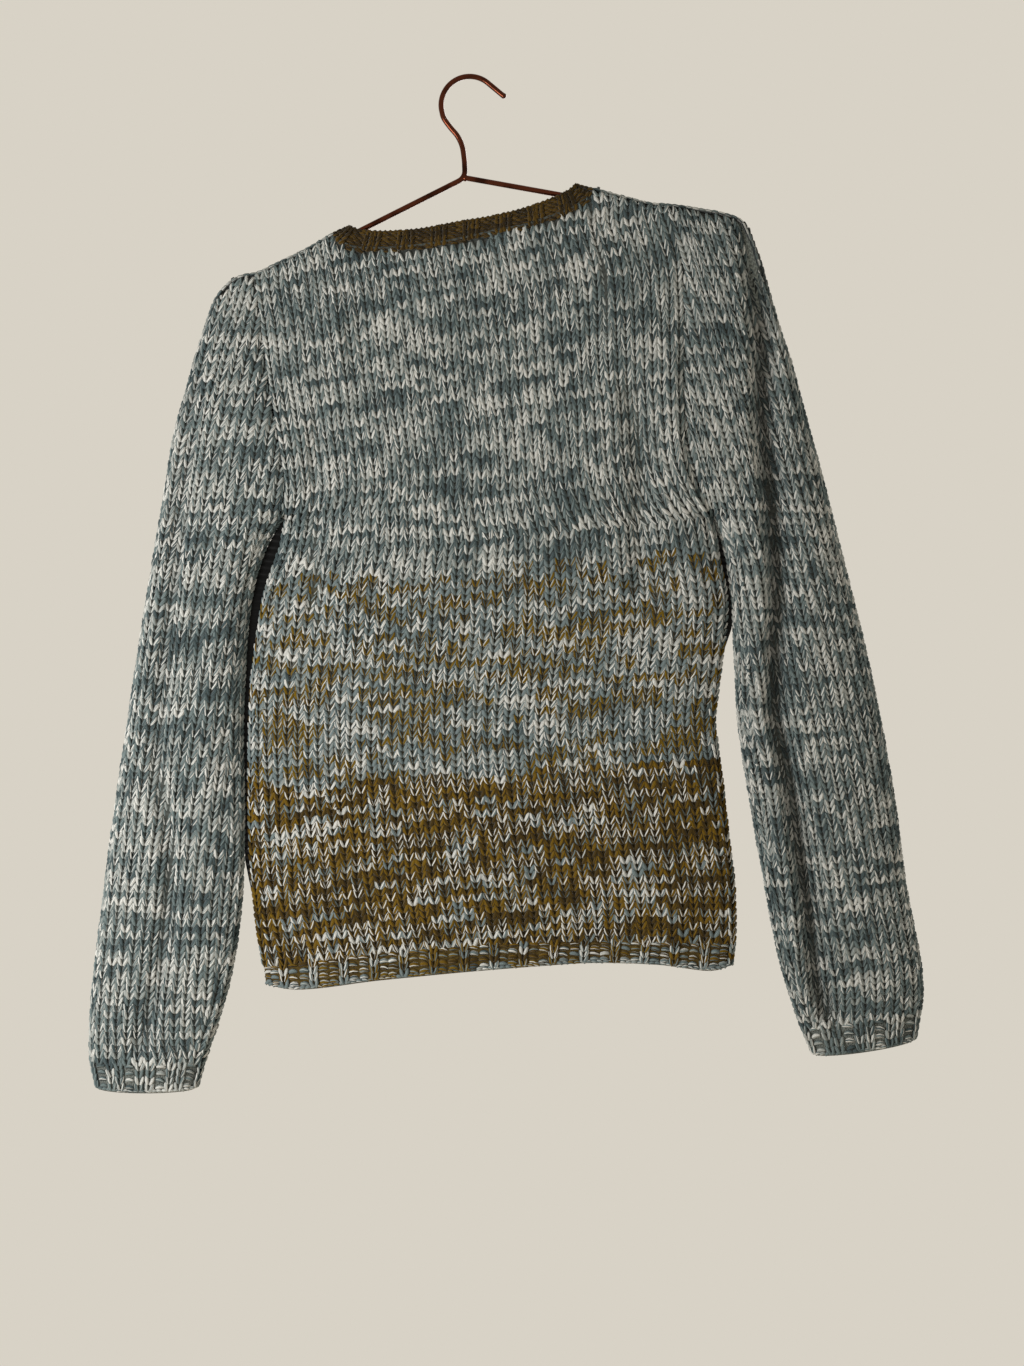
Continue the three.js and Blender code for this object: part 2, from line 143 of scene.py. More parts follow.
# Vectors with a length of one.
def unit(vectors):
    return vectors / np.maximum(np.linalg.norm(vectors, axis=-1, keepdims=True), 1e-12)


# A smooth line through given (x, z) points, read by the share of its length.
class SmoothLine:
    def __init__(self, points, steps=24):
        points = np.array(points)
        reach = np.vstack([2 * points[0] - points[1], points, 2 * points[-1] - points[-2]])
        gaps = np.sqrt(np.linalg.norm(np.diff(reach, axis=0), axis=1))
        share = (np.arange(steps) / steps)[:, None]
        pieces = []
        for i in range(len(points) - 1):
            before, start, end, after = reach[i:i + 4]
            first, middle, last = gaps[i:i + 3]
            leave = (start - before) / first - (end - before) / (first + middle) + (end - start) / middle
            arrive = (end - start) / middle - (after - start) / (middle + last) + (after - end) / last
            leave, arrive = leave * middle, arrive * middle
            square = 3 * (end - start) - 2 * leave - arrive
            cube = 2 * (start - end) + leave + arrive
            pieces.append(start + leave * share + square * share**2 + cube * share**3)
        self.points = np.vstack(pieces + [points[-1:]])
        lengths = np.linalg.norm(np.diff(self.points, axis=0), axis=1)
        self.shares = np.concatenate([[0], np.cumsum(lengths)]) / lengths.sum()
        self.knots = np.linspace(0, 1, len(self.points))

    def at(self, share):
        return tuple(np.interp(share, self.shares, column) for column in self.points.T)

    def atKnot(self, knot):
        return tuple(np.interp(knot, self.knots, column) for column in self.points.T)

    def heightAt(self, x):
        return np.interp(x, *self.points.T)


# Outlines run from the hem or the cuff upwards, or from left to right, as seen from the back.
outline = {
    "left": {
        "side": [(-0.160, -0.692), (-0.167, -0.650), (-0.171, -0.585), (-0.171, -0.484),
                 (-0.165, -0.430), (-0.158, -0.395), (-0.1465, -0.362), (-0.1427, -0.3416)],
        "armhole": [(-0.1427, -0.3416), (-0.142, -0.316), (-0.1482, -0.274), (-0.1576, -0.214),
                    (-0.1646, -0.1577)],
        "cap": [(-0.1652, -0.1512), (-0.177, -0.1539), (-0.1855, -0.1585), (-0.1945, -0.1684),
                (-0.201, -0.1825), (-0.213, -0.219), (-0.230, -0.282), (-0.2402, -0.344)],
        "sleeveOuter": [(-0.2402, -0.344), (-0.2605, -0.469), (-0.2785, -0.594), (-0.290, -0.687),
                        (-0.2948, -0.735), (-0.2945, -0.767)],
        "sleeveInner": [(-0.1436, -0.342), (-0.155, -0.360), (-0.1675, -0.399), (-0.175, -0.484),
                        (-0.1745, -0.586), (-0.178, -0.656), (-0.1895, -0.718), (-0.2055, -0.767)],
        "cuffEnds": [(-0.290, -0.787), (-0.211, -0.787)],
        "tip": (-0.1646, -0.1512),
    },
    "right": {
        "side": [(0.209, -0.674), (0.209, -0.640), (0.2045, -0.594), (0.1965, -0.531),
                 (0.1934, -0.500), (0.1965, -0.469), (0.203, -0.410), (0.1975, -0.375),
                 (0.1903, -0.340)],
        "armhole": [(0.1903, -0.340), (0.180, -0.322), (0.170, -0.297), (0.167, -0.244),
                    (0.167, -0.173), (0.1655, -0.141), (0.156, -0.1047)],
        "cap": [(0.1566, -0.0982), (0.183, -0.102), (0.201, -0.1055), (0.212, -0.110),
                (0.2185, -0.120), (0.228, -0.146), (0.2527, -0.225), (0.277, -0.313),
                (0.2847, -0.344)],
        "sleeveOuter": [(0.2847, -0.344), (0.308, -0.438), (0.3276, -0.531), (0.341, -0.625),
                        (0.3526, -0.687), (0.3543, -0.710), (0.353, -0.727)],
        "sleeveInner": [(0.1912, -0.3404), (0.2015, -0.375), (0.2075, -0.438), (0.2105, -0.500),
                        (0.2255, -0.594), (0.2435, -0.687), (0.2595, -0.740)],
        "cuffEnds": [(0.3495, -0.749), (0.2685, -0.761)],
        "tip": (0.156, -0.0982),
    },
    "leftShoulder": [(-0.1646, -0.1512), (-0.1477, -0.1434), (-0.1227, -0.131), (-0.106, -0.121)],
    "rightShoulder": [(0.0975, -0.0855), (0.117, -0.091), (0.1416, -0.097), (0.156, -0.0982)],
    "backNeck": [(-0.106, -0.121), (-0.1005, -0.1285), (-0.092, -0.1334), (-0.077, -0.135),
                 (-0.0415, -0.1331), (-0.0057, -0.1277), (0.021, -0.1214), (0.048, -0.1161),
                 (0.066, -0.1097), (0.081, -0.1044), (0.0905, -0.098), (0.0975, -0.0855)],
    "backNeckTop": [(-0.092, -0.1145), (-0.0895, -0.116), (-0.085, -0.1178), (-0.073, -0.1192),
                    (-0.041, -0.1178), (-0.0057, -0.1115), (0.021, -0.107), (0.047, -0.1003),
                    (0.064, -0.094), (0.076, -0.0885), (0.081, -0.085), (0.0835, -0.082)],
    "frontNeck": [(-0.106, -0.121), (-0.102, -0.134), (-0.094, -0.149), (-0.082, -0.163),
                  (-0.058, -0.180), (-0.025, -0.188), (0.008, -0.187), (0.040, -0.175),
                  (0.066, -0.153), (0.084, -0.124), (0.093, -0.104), (0.0975, -0.0855)],
    "frontNeckTop": [(-0.092, -0.1145), (-0.088, -0.127), (-0.081, -0.139), (-0.071, -0.150),
                     (-0.051, -0.165), (-0.023, -0.1725), (0.006, -0.1715), (0.032, -0.162),
                     (0.053, -0.143), (0.069, -0.118), (0.078, -0.098), (0.0835, -0.082)],
    "hemBottom": [(-0.1585, -0.706), (-0.1349, -0.7094), (-0.0679, -0.702), (-0.0062, -0.6958),
                  (0.060, -0.6905), (0.0972, -0.6885), (0.149, -0.690), (0.190, -0.695),
                  (0.207, -0.691)],
}

garment = {
    "bodyHalfDepth": 0.020, "hemHalfDepth": 0.016, "armholeHalfDepth": 0.017,
    "sleeveHalfDepth": 0.020, "cuffHalfDepth": 0.015, "ridgeRadius": 0.0065, "hemArch": 0.010,
    "neckDepth": {"back": 0.009, "front": 0.013},
    "groundDepth": 0.0017,    # from the crests of the stitches to the ground between them
    "groundThick": 0.0014,
    "seamGap": 0.0006,
    "foldOpens": 0.3,         # share of the armhole over which the side fold opens
    "squareness": 0.85,       # 1 for a body with square side folds, 0 for a lens-shaped one
    "chestRise": 0.8,         # how far the chest goes along with the neck's edge
    "capThins": 0.4, "cuffThins": 0.6,       # shares of the cap and the sleeve after which they get thinner
    "hemTaper": 0.1, "cuffTaper": 0.1, "neckTaper": 0.15,    # how much thinner the bands' free edges are
    "cuffSag": 0.0025, "cuffBlend": 0.6,
}

lines = {side: {part: SmoothLine(outline[side][part])
                for part in ("side", "armhole", "cap", "sleeveOuter", "sleeveInner")}
         for side in ("left", "right")}
topLines = {name: SmoothLine(outline[name])
            for name in ("leftShoulder", "rightShoulder", "backNeck", "backNeckTop", "frontNeck",
                         "frontNeckTop", "hemBottom")}
leftTip, rightTip = outline["left"]["tip"], outline["right"]["tip"]
faceSigns = {"back": -1, "front": 1}
outward = {"left": -1, "right": 1}

# Folds of the hanging cloth: how deep each sinks (a ridge has a negative depth), how far it reaches to
# the left and to the right, seen from the back, and the line that it follows downwards.
folds = {
    "back": [
        (0.0052, (0.008, 0.008), [(-0.117, -0.270), (-0.119, -0.330), (-0.118, -0.420)]),
        (0.0075, (0.012, 0.010), [(0.128, -0.245), (0.136, -0.300), (0.135, -0.345), (0.134, -0.392)]),
        (-0.0020, (0.008, 0.008), [(0.160, -0.215), (0.157, -0.262), (0.165, -0.310)]),
        (-0.0016, (0.024, 0.024), [(0.080, -0.330), (0.020, -0.372), (-0.050, -0.392)]),
        (0.0020, (0.020, 0.024), [(-0.060, -0.470), (-0.055, -0.600), (-0.075, -0.680)]),
        (0.0014, (0.012, 0.012), [(0.012, -0.330), (0.004, -0.430), (0.010, -0.560)]),
        (0.0020, (0.026, 0.026), [(0.080, -0.480), (0.100, -0.580), (0.095, -0.670)]),
        (0.0030, (0.012, 0.012), [(0.182, -0.600), (0.180, -0.640), (0.178, -0.672)]),
    ],
    "front": [
        (0.0045, (0.010, 0.012), [(0.120, -0.280), (0.118, -0.350), (0.105, -0.430)]),
        (0.0040, (0.014, 0.012), [(-0.115, -0.290), (-0.105, -0.340), (-0.090, -0.390)]),
        (0.0025, (0.022, 0.026), [(-0.040, -0.500), (-0.045, -0.600), (-0.030, -0.680)]),
        (0.0022, (0.024, 0.022), [(0.110, -0.500), (0.095, -0.600), (0.100, -0.670)]),
    ],
    "left": [
        (0.0080, (0.009, 0.007), [(-0.207, -0.217), (-0.2145, -0.264), (-0.222, -0.326), (-0.227, -0.393),
            (-0.2324, -0.445), (-0.238, -0.498), (-0.240, -0.539), (-0.2324, -0.576), (-0.230, -0.627),
            (-0.235, -0.680), (-0.2457, -0.726), (-0.254, -0.752)]),
        (-0.0022, (0.012, 0.012), [(-0.168, -0.345), (-0.186, -0.400), (-0.198, -0.470), (-0.203, -0.560),
            (-0.209, -0.660)]),
    ],
    "right": [
        (0.0172, (0.007, 0.012), [(0.2176, -0.108), (0.2223, -0.159), (0.2278, -0.211), (0.2278, -0.264),
            (0.2332, -0.315), (0.2379, -0.367), (0.2400, -0.409), (0.2370, -0.445), (0.2379, -0.498),
            (0.2488, -0.549), (0.2566, -0.601), (0.2644, -0.654), (0.2691, -0.700), (0.2769, -0.726)]),
        (-0.0034, (0.009, 0.009), [(0.200, -0.313), (0.2199, -0.375), (0.2222, -0.438), (0.2246, -0.484),
            (0.2340, -0.547), (0.2434, -0.609), (0.2512, -0.664), (0.2590, -0.711)]),
        (0.0018, (0.020, 0.020), [(0.290, -0.420), (0.303, -0.500), (0.318, -0.580)]),
    ],
}
seamFold = (0.0022, (0.0035, 0.0035))     # the cloth is pulled in along the armhole seams
for side in ("left", "right"):
    for place in ("back", "front", side):
        folds[place].append((*seamFold, outline[side]["armhole"][1:]))


def foldDepth(place, x, z):
    total = np.zeros(np.broadcast(x, z).shape)
    for depth, reach, line in folds[place]:
        nearest = np.full(total.shape, np.inf)
        isLeft = np.zeros(total.shape, dtype=bool)
        for (startX, startZ), (endX, endZ) in zip(line, line[1:]):
            alongX, alongZ = endX - startX, endZ - startZ
            share = ((x - startX) * alongX + (z - startZ) * alongZ) / (alongX**2 + alongZ**2)
            share = np.clip(share, 0, 1)
            gapX, gapZ = x - startX - share * alongX, z - startZ - share * alongZ
            gap = np.hypot(gapX, gapZ)
            isNearer = gap < nearest
            nearest = np.where(isNearer, gap, nearest)
            isLeft = np.where(isNearer, alongX * gapZ - alongZ * gapX < 0, isLeft)
        total += depth * np.exp(-(nearest / np.where(isLeft, *reach)) ** 2)
    return total


# Height up the body: 0 at the hem band, 1 at the underarm, 2 under the shoulder's ridge, 3 on it.
def bodyEdge(side, height):
    armShare = np.clip(height - 1, 0, 1)
    turn = np.clip(height - 2, 0, 1) * math.pi / 2
    sideX, sideZ = lines[side]["side"].at(np.clip(height, 0, 1))
    armX, armZ = lines[side]["armhole"].at(armShare)
    opening = np.sqrt(1 - (1 - np.clip(armShare / garment["foldOpens"], 0, 1)) ** 2)
    towardsTop = smoothStep(garment["foldOpens"], 1, armShare)
    depth = opening * blend(garment["armholeHalfDepth"], garment["ridgeRadius"], towardsTop) * np.cos(turn)
    low = height <= 1
    x = np.where(low, sideX, armX)
    z = np.where(low, sideZ, armZ) + garment["ridgeRadius"] * np.sin(turn)
    return x, z, depth


neckStart = (outline["backNeck"][0][0] - leftTip[0]) / (rightTip[0] - leftTip[0])
neckEnd = (outline["backNeck"][-1][0] - leftTip[0]) / (rightTip[0] - leftTip[0])
neckTurns = 14   # how gradually the neck edge leaves the shoulder's ridge


# How far a point is inside the neck, in turns from the nearer shoulder: 0 on the shoulder.
def insideNeck(across):
    share = np.clip((across - neckStart) / (neckEnd - neckStart), 0, 1)
    turns = neckTurns / math.pi * np.arccos(1 - 2 * share)
    return np.minimum(turns, neckTurns - turns)


# The neck's edge opens to its full depth over the first two turns.
def neckDepthAt(face, inside):
    return garment["neckDepth"][face] * np.sin(np.clip(inside / 2, 0, 1) * math.pi / 2)


def topHeight(face, across):
    x = blend(leftTip[0], rightTip[0], across)
    z = topLines[face + "Neck"].heightAt(x)
    z = np.where(across < neckStart, topLines["leftShoulder"].heightAt(x), z)
    return np.where(across > neckEnd, topLines["rightShoulder"].heightAt(x), z)


# A point of the back or the front, and its height measured over the shoulder's ridge.
def bodyPoint(face, across, height):
    leftX, leftZ, leftDepth = bodyEdge("left", height)
    rightX, rightZ, rightDepth = bodyEdge("right", height)
    lift = smoothStep(0, 1, height - 1)
    low = 1 - np.clip(height, 0, 1)
    ridge = np.clip(height - 2, 0, 1)
    flatTop = blend(leftTip[1], rightTip[1], across)
    z = blend(leftZ, rightZ, across) + lift * (topHeight(face, across) - flatTop)
    z = z + garment["hemArch"] * np.sin(math.pi * across) * low**2
    x = blend(leftX, rightX, across) + 0 * z
    fromMiddle = np.abs(2 * across - 1)
    square = garment["squareness"]
    crown = square * np.sqrt(1 - fromMiddle**6) + (1 - square) * (1 - fromMiddle**2)
    halfDepth = blend(garment["bodyHalfDepth"], garment["hemHalfDepth"], low**2)
    edge = blend(leftDepth, rightDepth, across)
    hanging = edge + (halfDepth - edge) * crown
    inside = insideNeck(across)
    neckShare = smoothStep(0, 1, inside)
    share = np.maximum(ridge, garment["chestRise"] * lift) * neckShare
    upper = blend(edge, neckDepthAt(face, inside), share)
    depth = blend(hanging, upper, lift)
    depth = depth - foldDepth(face, x, z) * np.clip(depth / halfDepth, 0, 1)
    turn = ridge * math.pi / 2
    overRidge = garment["ridgeRadius"] * (turn - np.sin(turn)) * (1 - neckShare)
    point = np.stack([x, faceSigns[face] * np.maximum(depth, 0), z], axis=-1)
    return point, z + overRidge


# Height up a sleeve: 0 at the cuff, 1 at the underarm, 2 at the shoulder.
# Round it: -1 at the back seam, 0 on the outer fold, 1 at the front seam.
def sleeveFrame(side, height):
    below = np.clip(1 - height, 0, 1)
    capShare = np.clip(height - 1, 0, 1)
    isCap = height > 1
    lowOuter, lowInner = lines[side]["sleeveOuter"].at(below), lines[side]["sleeveInner"].at(below)
    capOuter = lines[side]["cap"].at(1 - capShare)
    seamX, seamZ, seamDepth = bodyEdge(side, 1 + capShare)
    capInner = (seamX + outward[side] * garment["seamGap"], seamZ)
    outer = [np.where(isCap, cap, low) for cap, low in zip(capOuter, lowOuter)]
    inner = [np.where(isCap, cap, low) for cap, low in zip(capInner, lowInner)]
    towardsTip = smoothStep(garment["capThins"], 1, capShare)
    towardsCuff = smoothStep(garment["cuffThins"], 1, below)
    capDepth = blend(garment["sleeveHalfDepth"], garment["ridgeRadius"], towardsTip)
    lowDepth = blend(garment["sleeveHalfDepth"], garment["cuffHalfDepth"], towardsCuff)
    halfDepth = np.where(isCap, capDepth, lowDepth)
    lastAngle = math.pi - np.arcsin(np.clip(np.where(isCap, seamDepth, 0) / halfDepth, 0, 1))
    return outer, inner, halfDepth, lastAngle


def sleevePoint(side, around, height):
    outer, inner, halfDepth, lastAngle = sleeveFrame(side, height)
    angle = np.abs(around) * lastAngle
    across = (1 - np.cos(angle)) / (1 - np.cos(lastAngle))
    x = blend(outer[0], inner[0], across)
    z = blend(outer[1], inner[1], across)
    depth = halfDepth * np.sin(angle)
    depth = depth - foldDepth(side, x, z) * np.clip(depth / garment["sleeveHalfDepth"], 0, 1)
    return np.stack([x, np.sign(around) * np.maximum(depth, 0), z], axis=-1)


# The hem bands hang from the body's lower edge: 0 at the body, 1 at the cast-on edge.
def hemPoint(face, across, drop):
    top = bodyPoint(face, across, 0 * across)[0]
    endX = blend(outline["hemBottom"][0][0], outline["hemBottom"][-1][0], across)
    endZ = topLines["hemBottom"].heightAt(endX)
    x, z = blend(top[..., 0], endX, drop), blend(top[..., 2], endZ, drop)
    return np.stack([x, top[..., 1] * (1 - garment["hemTaper"] * drop), z], axis=-1)


# A cuff goes on from its sleeve: 0 at the sleeve, 1 at the cast-on edge.
def cuffPoint(side, around, drop):
    angle = np.abs(around) * math.pi
    across = (1 - np.cos(angle)) / 2
    starts = (lines[side]["sleeveOuter"].at(1.0), lines[side]["sleeveInner"].at(1.0))
    ends = outline[side]["cuffEnds"]
    startX, startZ = (blend(starts[0][i], starts[1][i], across) for i in range(2))
    endX, endZ = (blend(ends[0][i], ends[1][i], across) for i in range(2))
    depth = np.sin(angle) * garment["cuffHalfDepth"] * (1 - garment["cuffTaper"] * drop)
    sleeveEnd = sleevePoint(side, around, 0 * around)
    z = blend(startZ, endZ - garment["cuffSag"] * np.sin(angle), drop)
    y = blend(sleeveEnd[..., 1], np.sign(around) * depth, smoothStep(0, garment["cuffBlend"], drop))
    return np.stack([blend(startX, endX, drop), y, z], axis=-1)


# The neckband stands on the neck's edge: share goes round from the left shoulder over the back.
def neckPoint(share, rise):
    isBack = share <= 0.5
    knot = np.where(isBack, 2 * share, 2 - 2 * share)
    points = []
    for face in ("back", "front"):
        lower = topLines[face + "Neck"].atKnot(knot)
        upper = topLines[face + "NeckTop"].atKnot(knot)
        inside = insideNeck((lower[0] - leftTip[0]) / (rightTip[0] - leftTip[0]))
        depth = neckDepthAt(face, inside) * (1 - garment["neckTaper"] * rise) * faceSigns[face]
        x, z = blend(lower[0], upper[0], rise), blend(lower[1], upper[1], rise)
        points.append(np.stack([x, depth, z], axis=-1))
    return np.where(isBack[..., None], points[0], points[1])


# Where the wales and the courses lie.
gauge = {
    "wale": 0.0077, "course": 0.0052,
    "bodyWales": 46, "bodyCourses": 114,
    "sleeveWale": 0.0079, "sleeveCourses": 82, "capCourses": 50,
    "capLean": {"left": 0.20, "right": -0.26},     # how far the cap's inner wales go sideways as they rise
    "capCorner": {"left": 4, "right": 4},          # the cap's point where its top edge begins
    "edgeRoom": 1.2,          # wales between a sleeve's turned wales and those that follow its inner fold
    "foldReach": 0.06,        # how far in the cap's wales follow its outer fold
    "topRoom": 0.25,          # share of a course that stays free under the shoulders and the neck
    # course number, and its height at the left and the right side fold
    "bodyLevels": [(0, -0.692, -0.674), (58, -0.3947, -0.3635), (107, -0.1512, -0.0982),
                   (120, -0.0866, -0.0279)],
    "ochreFrom": 58, "ochreFull": 27,      # courses below which the ochre yarn comes in, and leads
    "ochreWander": 2.4,       # how many courses those two borders wander up and down
    "ochreRun": (1, 7),       # over how many courses and wales
    "castOn": -0.69,          # height of the first course in the middle
}
foldGap = 1e-4                # keeps a point of the outer fold on its own side of the sleeve
# How finely lengths are measured along the pieces, and how often a search halves its span.
fineness = {"body": 121, "sleeve": 81, "band": 241, "chain": 200, "bodySearch": 24, "capSearch": 26}


# Lengths along each row of a grid of points, from its first column.
def grownLengths(points):
    steps = np.linalg.norm(np.diff(points, axis=1), axis=2)
    return np.concatenate([np.zeros((len(points), 1)), np.cumsum(steps, axis=1)], axis=1)


def bodyHeightAt(face, across, level):
    low, high = np.zeros(level.shape), np.full(level.shape, 3.0)
    for _ in range(fineness["bodySearch"]):
        middle = (low + high) / 2
        below = bodyPoint(face, across, middle)[1] < level
        low, high = np.where(below, middle, low), np.where(below, high, middle)
    return (low + high) / 2


# A lattice has a point at every half wale and every half course, so stitches have odd numbers.
def bodyLattice(face):
    courses = np.arange(2 * gauge["bodyCourses"] + 1)[:, None] / 2
    numbers, lefts, rights = zip(*gauge["bodyLevels"])

    def levelAt(across):
        arch = garment["hemArch"] * np.sin(math.pi * across)
        arch = arch * np.clip(1 - courses / gauge["ochreFrom"], 0, 1) ** 2
        left, right = np.interp(courses, numbers, lefts), np.interp(courses, numbers, rights)
        return blend(left, right, across) + arch

    samples = np.linspace(0, 1, fineness["body"])[None, :] + 0 * courses
    rough = bodyPoint(face, samples, bodyHeightAt(face, samples, levelAt(samples)))[0]
    lengths = grownLengths(rough)
    shares = np.arange(2 * gauge["bodyWales"] + 1) / (2 * gauge["bodyWales"])
    across = np.array([np.interp(shares * row[-1], row, samples[0]) for row in lengths])
    level = levelAt(across)
    points = bodyPoint(face, across, bodyHeightAt(face, across, level))[0]
    top = bodyPoint(face, across, np.full(across.shape, 3.0))[1]
    return points, level < top - gauge["topRoom"] * gauge["course"]


# A little more than the cap itself, by its share from the outer fold to the seam and by its height.
capLimits = {"outer": -0.02, "seam": 1.04, "farthest": 1.05, "top": 1.999}


# Where on a sleeve's cap a place of the plane lies, as (around, height, whether it is on the cap).
def onCap(side, x, z):
    low, high = np.ones(x.shape), np.full(x.shape, 2.0)
    for _ in range(fineness["capSearch"]):
        height = (low + high) / 2
        outer, inner, _, lastAngle = sleeveFrame(side, height)
        run = (inner[0] - outer[0], inner[1] - outer[1])
        isAbove = outward[side] * (run[1] * (x - outer[0]) - run[0] * (z - outer[1])) > 0
        low, high = np.where(isAbove, height, low), np.where(isAbove, high, height)
    across = ((x - outer[0]) * run[0] + (z - outer[1]) * run[1]) / (run[0] ** 2 + run[1] ** 2)
    isOn = (across > capLimits["outer"]) & (across < capLimits["seam"]) & (height < capLimits["top"])
    across = np.clip(across, 0, capLimits["farthest"])
    angle = np.arccos(np.clip(1 - across * (1 - np.cos(lastAngle)), -1, 1))
    return angle / lastAngle, height, isOn


# How far sideways the outer fold has gone at a height over the underarm, straight on above its corner.
def foldShift(side, rise):
    x, z = np.array(outline[side]["cap"][gauge["capCorner"][side]:])[::-1].T
    slope = (x[-1] - x[-2]) / (z[-1] - z[-2])
    known = np.interp(rise, z - z[0], x - x[0])
    return known + np.maximum(rise - (z[-1] - z[0]), 0) * slope


# A sleeve's wales keep their width from the outer fold, go on over the cap and end at its edges; two
# wales follow the inner fold below the underarm. Gives (points, valid) for every part.
def sleeveLattices(side):
    heights = np.linspace(0, 1, 2 * gauge["sleeveCourses"] + 1)[:, None]
    samples = np.linspace(0, 1, fineness["sleeve"])[None, :]
    pitch = gauge["sleeveWale"]
    lean = gauge["capLean"][side]
    lattices = []
    for sign in (-1, 1):
        lengths = grownLengths(sleevePoint(side, sign * samples + 0 * heights, heights + 0 * samples))
        full = lengths[:, -1:]
        offsets = np.arange(2 * math.ceil(full.max() / pitch) + 1)[None, :] * pitch / 2
        edge = full - np.array([4, 3, 2, 1, 0])[None, :] * pitch / 2
        turned = offsets + pitch / 2 <= full - gauge["edgeRoom"] * pitch
        parts = []
        for wanted, valid in ((offsets + 0 * full, turned), (edge, edge > 0)):
            around = np.array([np.interp(row, grown, samples[0]) for row, grown in zip(wanted, lengths)])
            around = sign * np.maximum(around, foldGap)
            parts.append((sleevePoint(side, around, heights + 0 * around), valid))
        start = np.interp(offsets[0], lengths[-1], samples[0])
        start = sleevePoint(side, sign * np.maximum(start, foldGap), 1 + 0 * start)
        start[:, 0] -= np.maximum(offsets[0] - full[-1], 0) * outward[side]
        rise = np.arange(2 * gauge["capCourses"] + 1)[:, None] * gauge["course"] / 2 / math.hypot(1, lean)
        near = np.exp(-offsets / gauge["foldReach"])
        shift = near * foldShift(side, rise) + (1 - near) * lean * rise
        around, height, isOn = onCap(side, start[None, :, 0] + shift, start[None, :, 2] + rise)
        isOn[:-1] &= isOn[1:]
        parts.append((sleevePoint(side, sign * np.maximum(around, foldGap), height), isOn))
        for points, valid in parts:
            valid = valid & np.ones(points.shape[:2], dtype=bool)
            lattices.append((points[:, ::-1], valid[:, ::-1]) if sign < 0 else (points, valid))
    return lattices


# A band's lattice from a function of (position, rise) whose positions are spaced by true length.
def bandLattice(pointAt, start, end, wales, courses, margins):
    samples = np.linspace(start, end, fineness["band"])[None, :]
    middle = pointAt(samples, np.full(samples.shape, 0.5))
    length = grownLengths(middle)[0]
    places = np.interp(np.linspace(0, length[-1], 2 * wales + 1), length, samples[0])
    position, rise = np.meshgrid(places, np.linspace(*margins, 2 * courses + 1))
    return pointAt(position, rise)


def outwards(points, sign):
    return sign * unit(np.cross(np.gradient(points, axis=1), np.gradient(points, axis=0)))


# How uneven the stitches are: how far they sway sideways and stand out, and how their sizes differ.
unevenness = {"sway": 0.16, "swayRun": (8, 1.1), "ownSway": 0.07, "relief": 0.0005, "bandRelief": 0.0003,
              "reliefRun": (6, 1.3), "plump": 0.16, "widths": (0.6, 1.35), "heights": (0.7, 1.3)}


# Middles of the stitches with their outward, upward and size vectors. The sign turns them outwards.
def stitchPlaces(points, valid, sign, seed, pitch=None, relief=unevenness["relief"]):
    wale, course = pitch or (gauge["wale"], gauge["course"])
    rng = np.random.default_rng(seed)
    middle = points[1::2, 1::2]
    up = points[2::2, 1::2] - points[:-1:2, 1::2]
    along = points[1::2, 2::2] - points[1::2, :-1:2]
    out = sign * unit(np.cross(along, up))
    rows, columns = middle.shape[:2]
    tall = np.linalg.norm(up, axis=2) / course
    wide = np.linalg.norm(along, axis=2) / wale
    sway = unevenness["sway"] * (streaks(rng, rows, columns, *unevenness["swayRun"]) - 0.5)
    sway = sway + unevenness["ownSway"] * (rng.random((rows, columns)) - 0.5)
    lift = relief * (streaks(rng, rows, columns, *unevenness["reliefRun"]) - 0.5)
    lift = lift + relief / 2 * (rng.random((rows, columns)) - 0.5)
    middle = middle + along * sway[..., None] + out * lift[..., None]
    plump = 1 + unevenness["plump"] * (rng.random((rows, columns)) - 0.5)
    wide, tall = np.clip(wide, *unevenness["widths"]), np.clip(tall, *unevenness["heights"])
    size = np.stack([wide * plump, plump, tall], axis=2)
    courses, wales = chosen = np.nonzero(valid[1::2, 1::2])
    return {"place": middle[chosen], "out": out[chosen], "up": up[chosen], "size": size[chosen],
            "course": courses, "wale": wales}


def pick(places, keep):
    return {key: value[keep] for key, value in places.items()}


def joined(groups):
    return {key: np.concatenate([group[key] for group in groups]) for key in groups[0]}


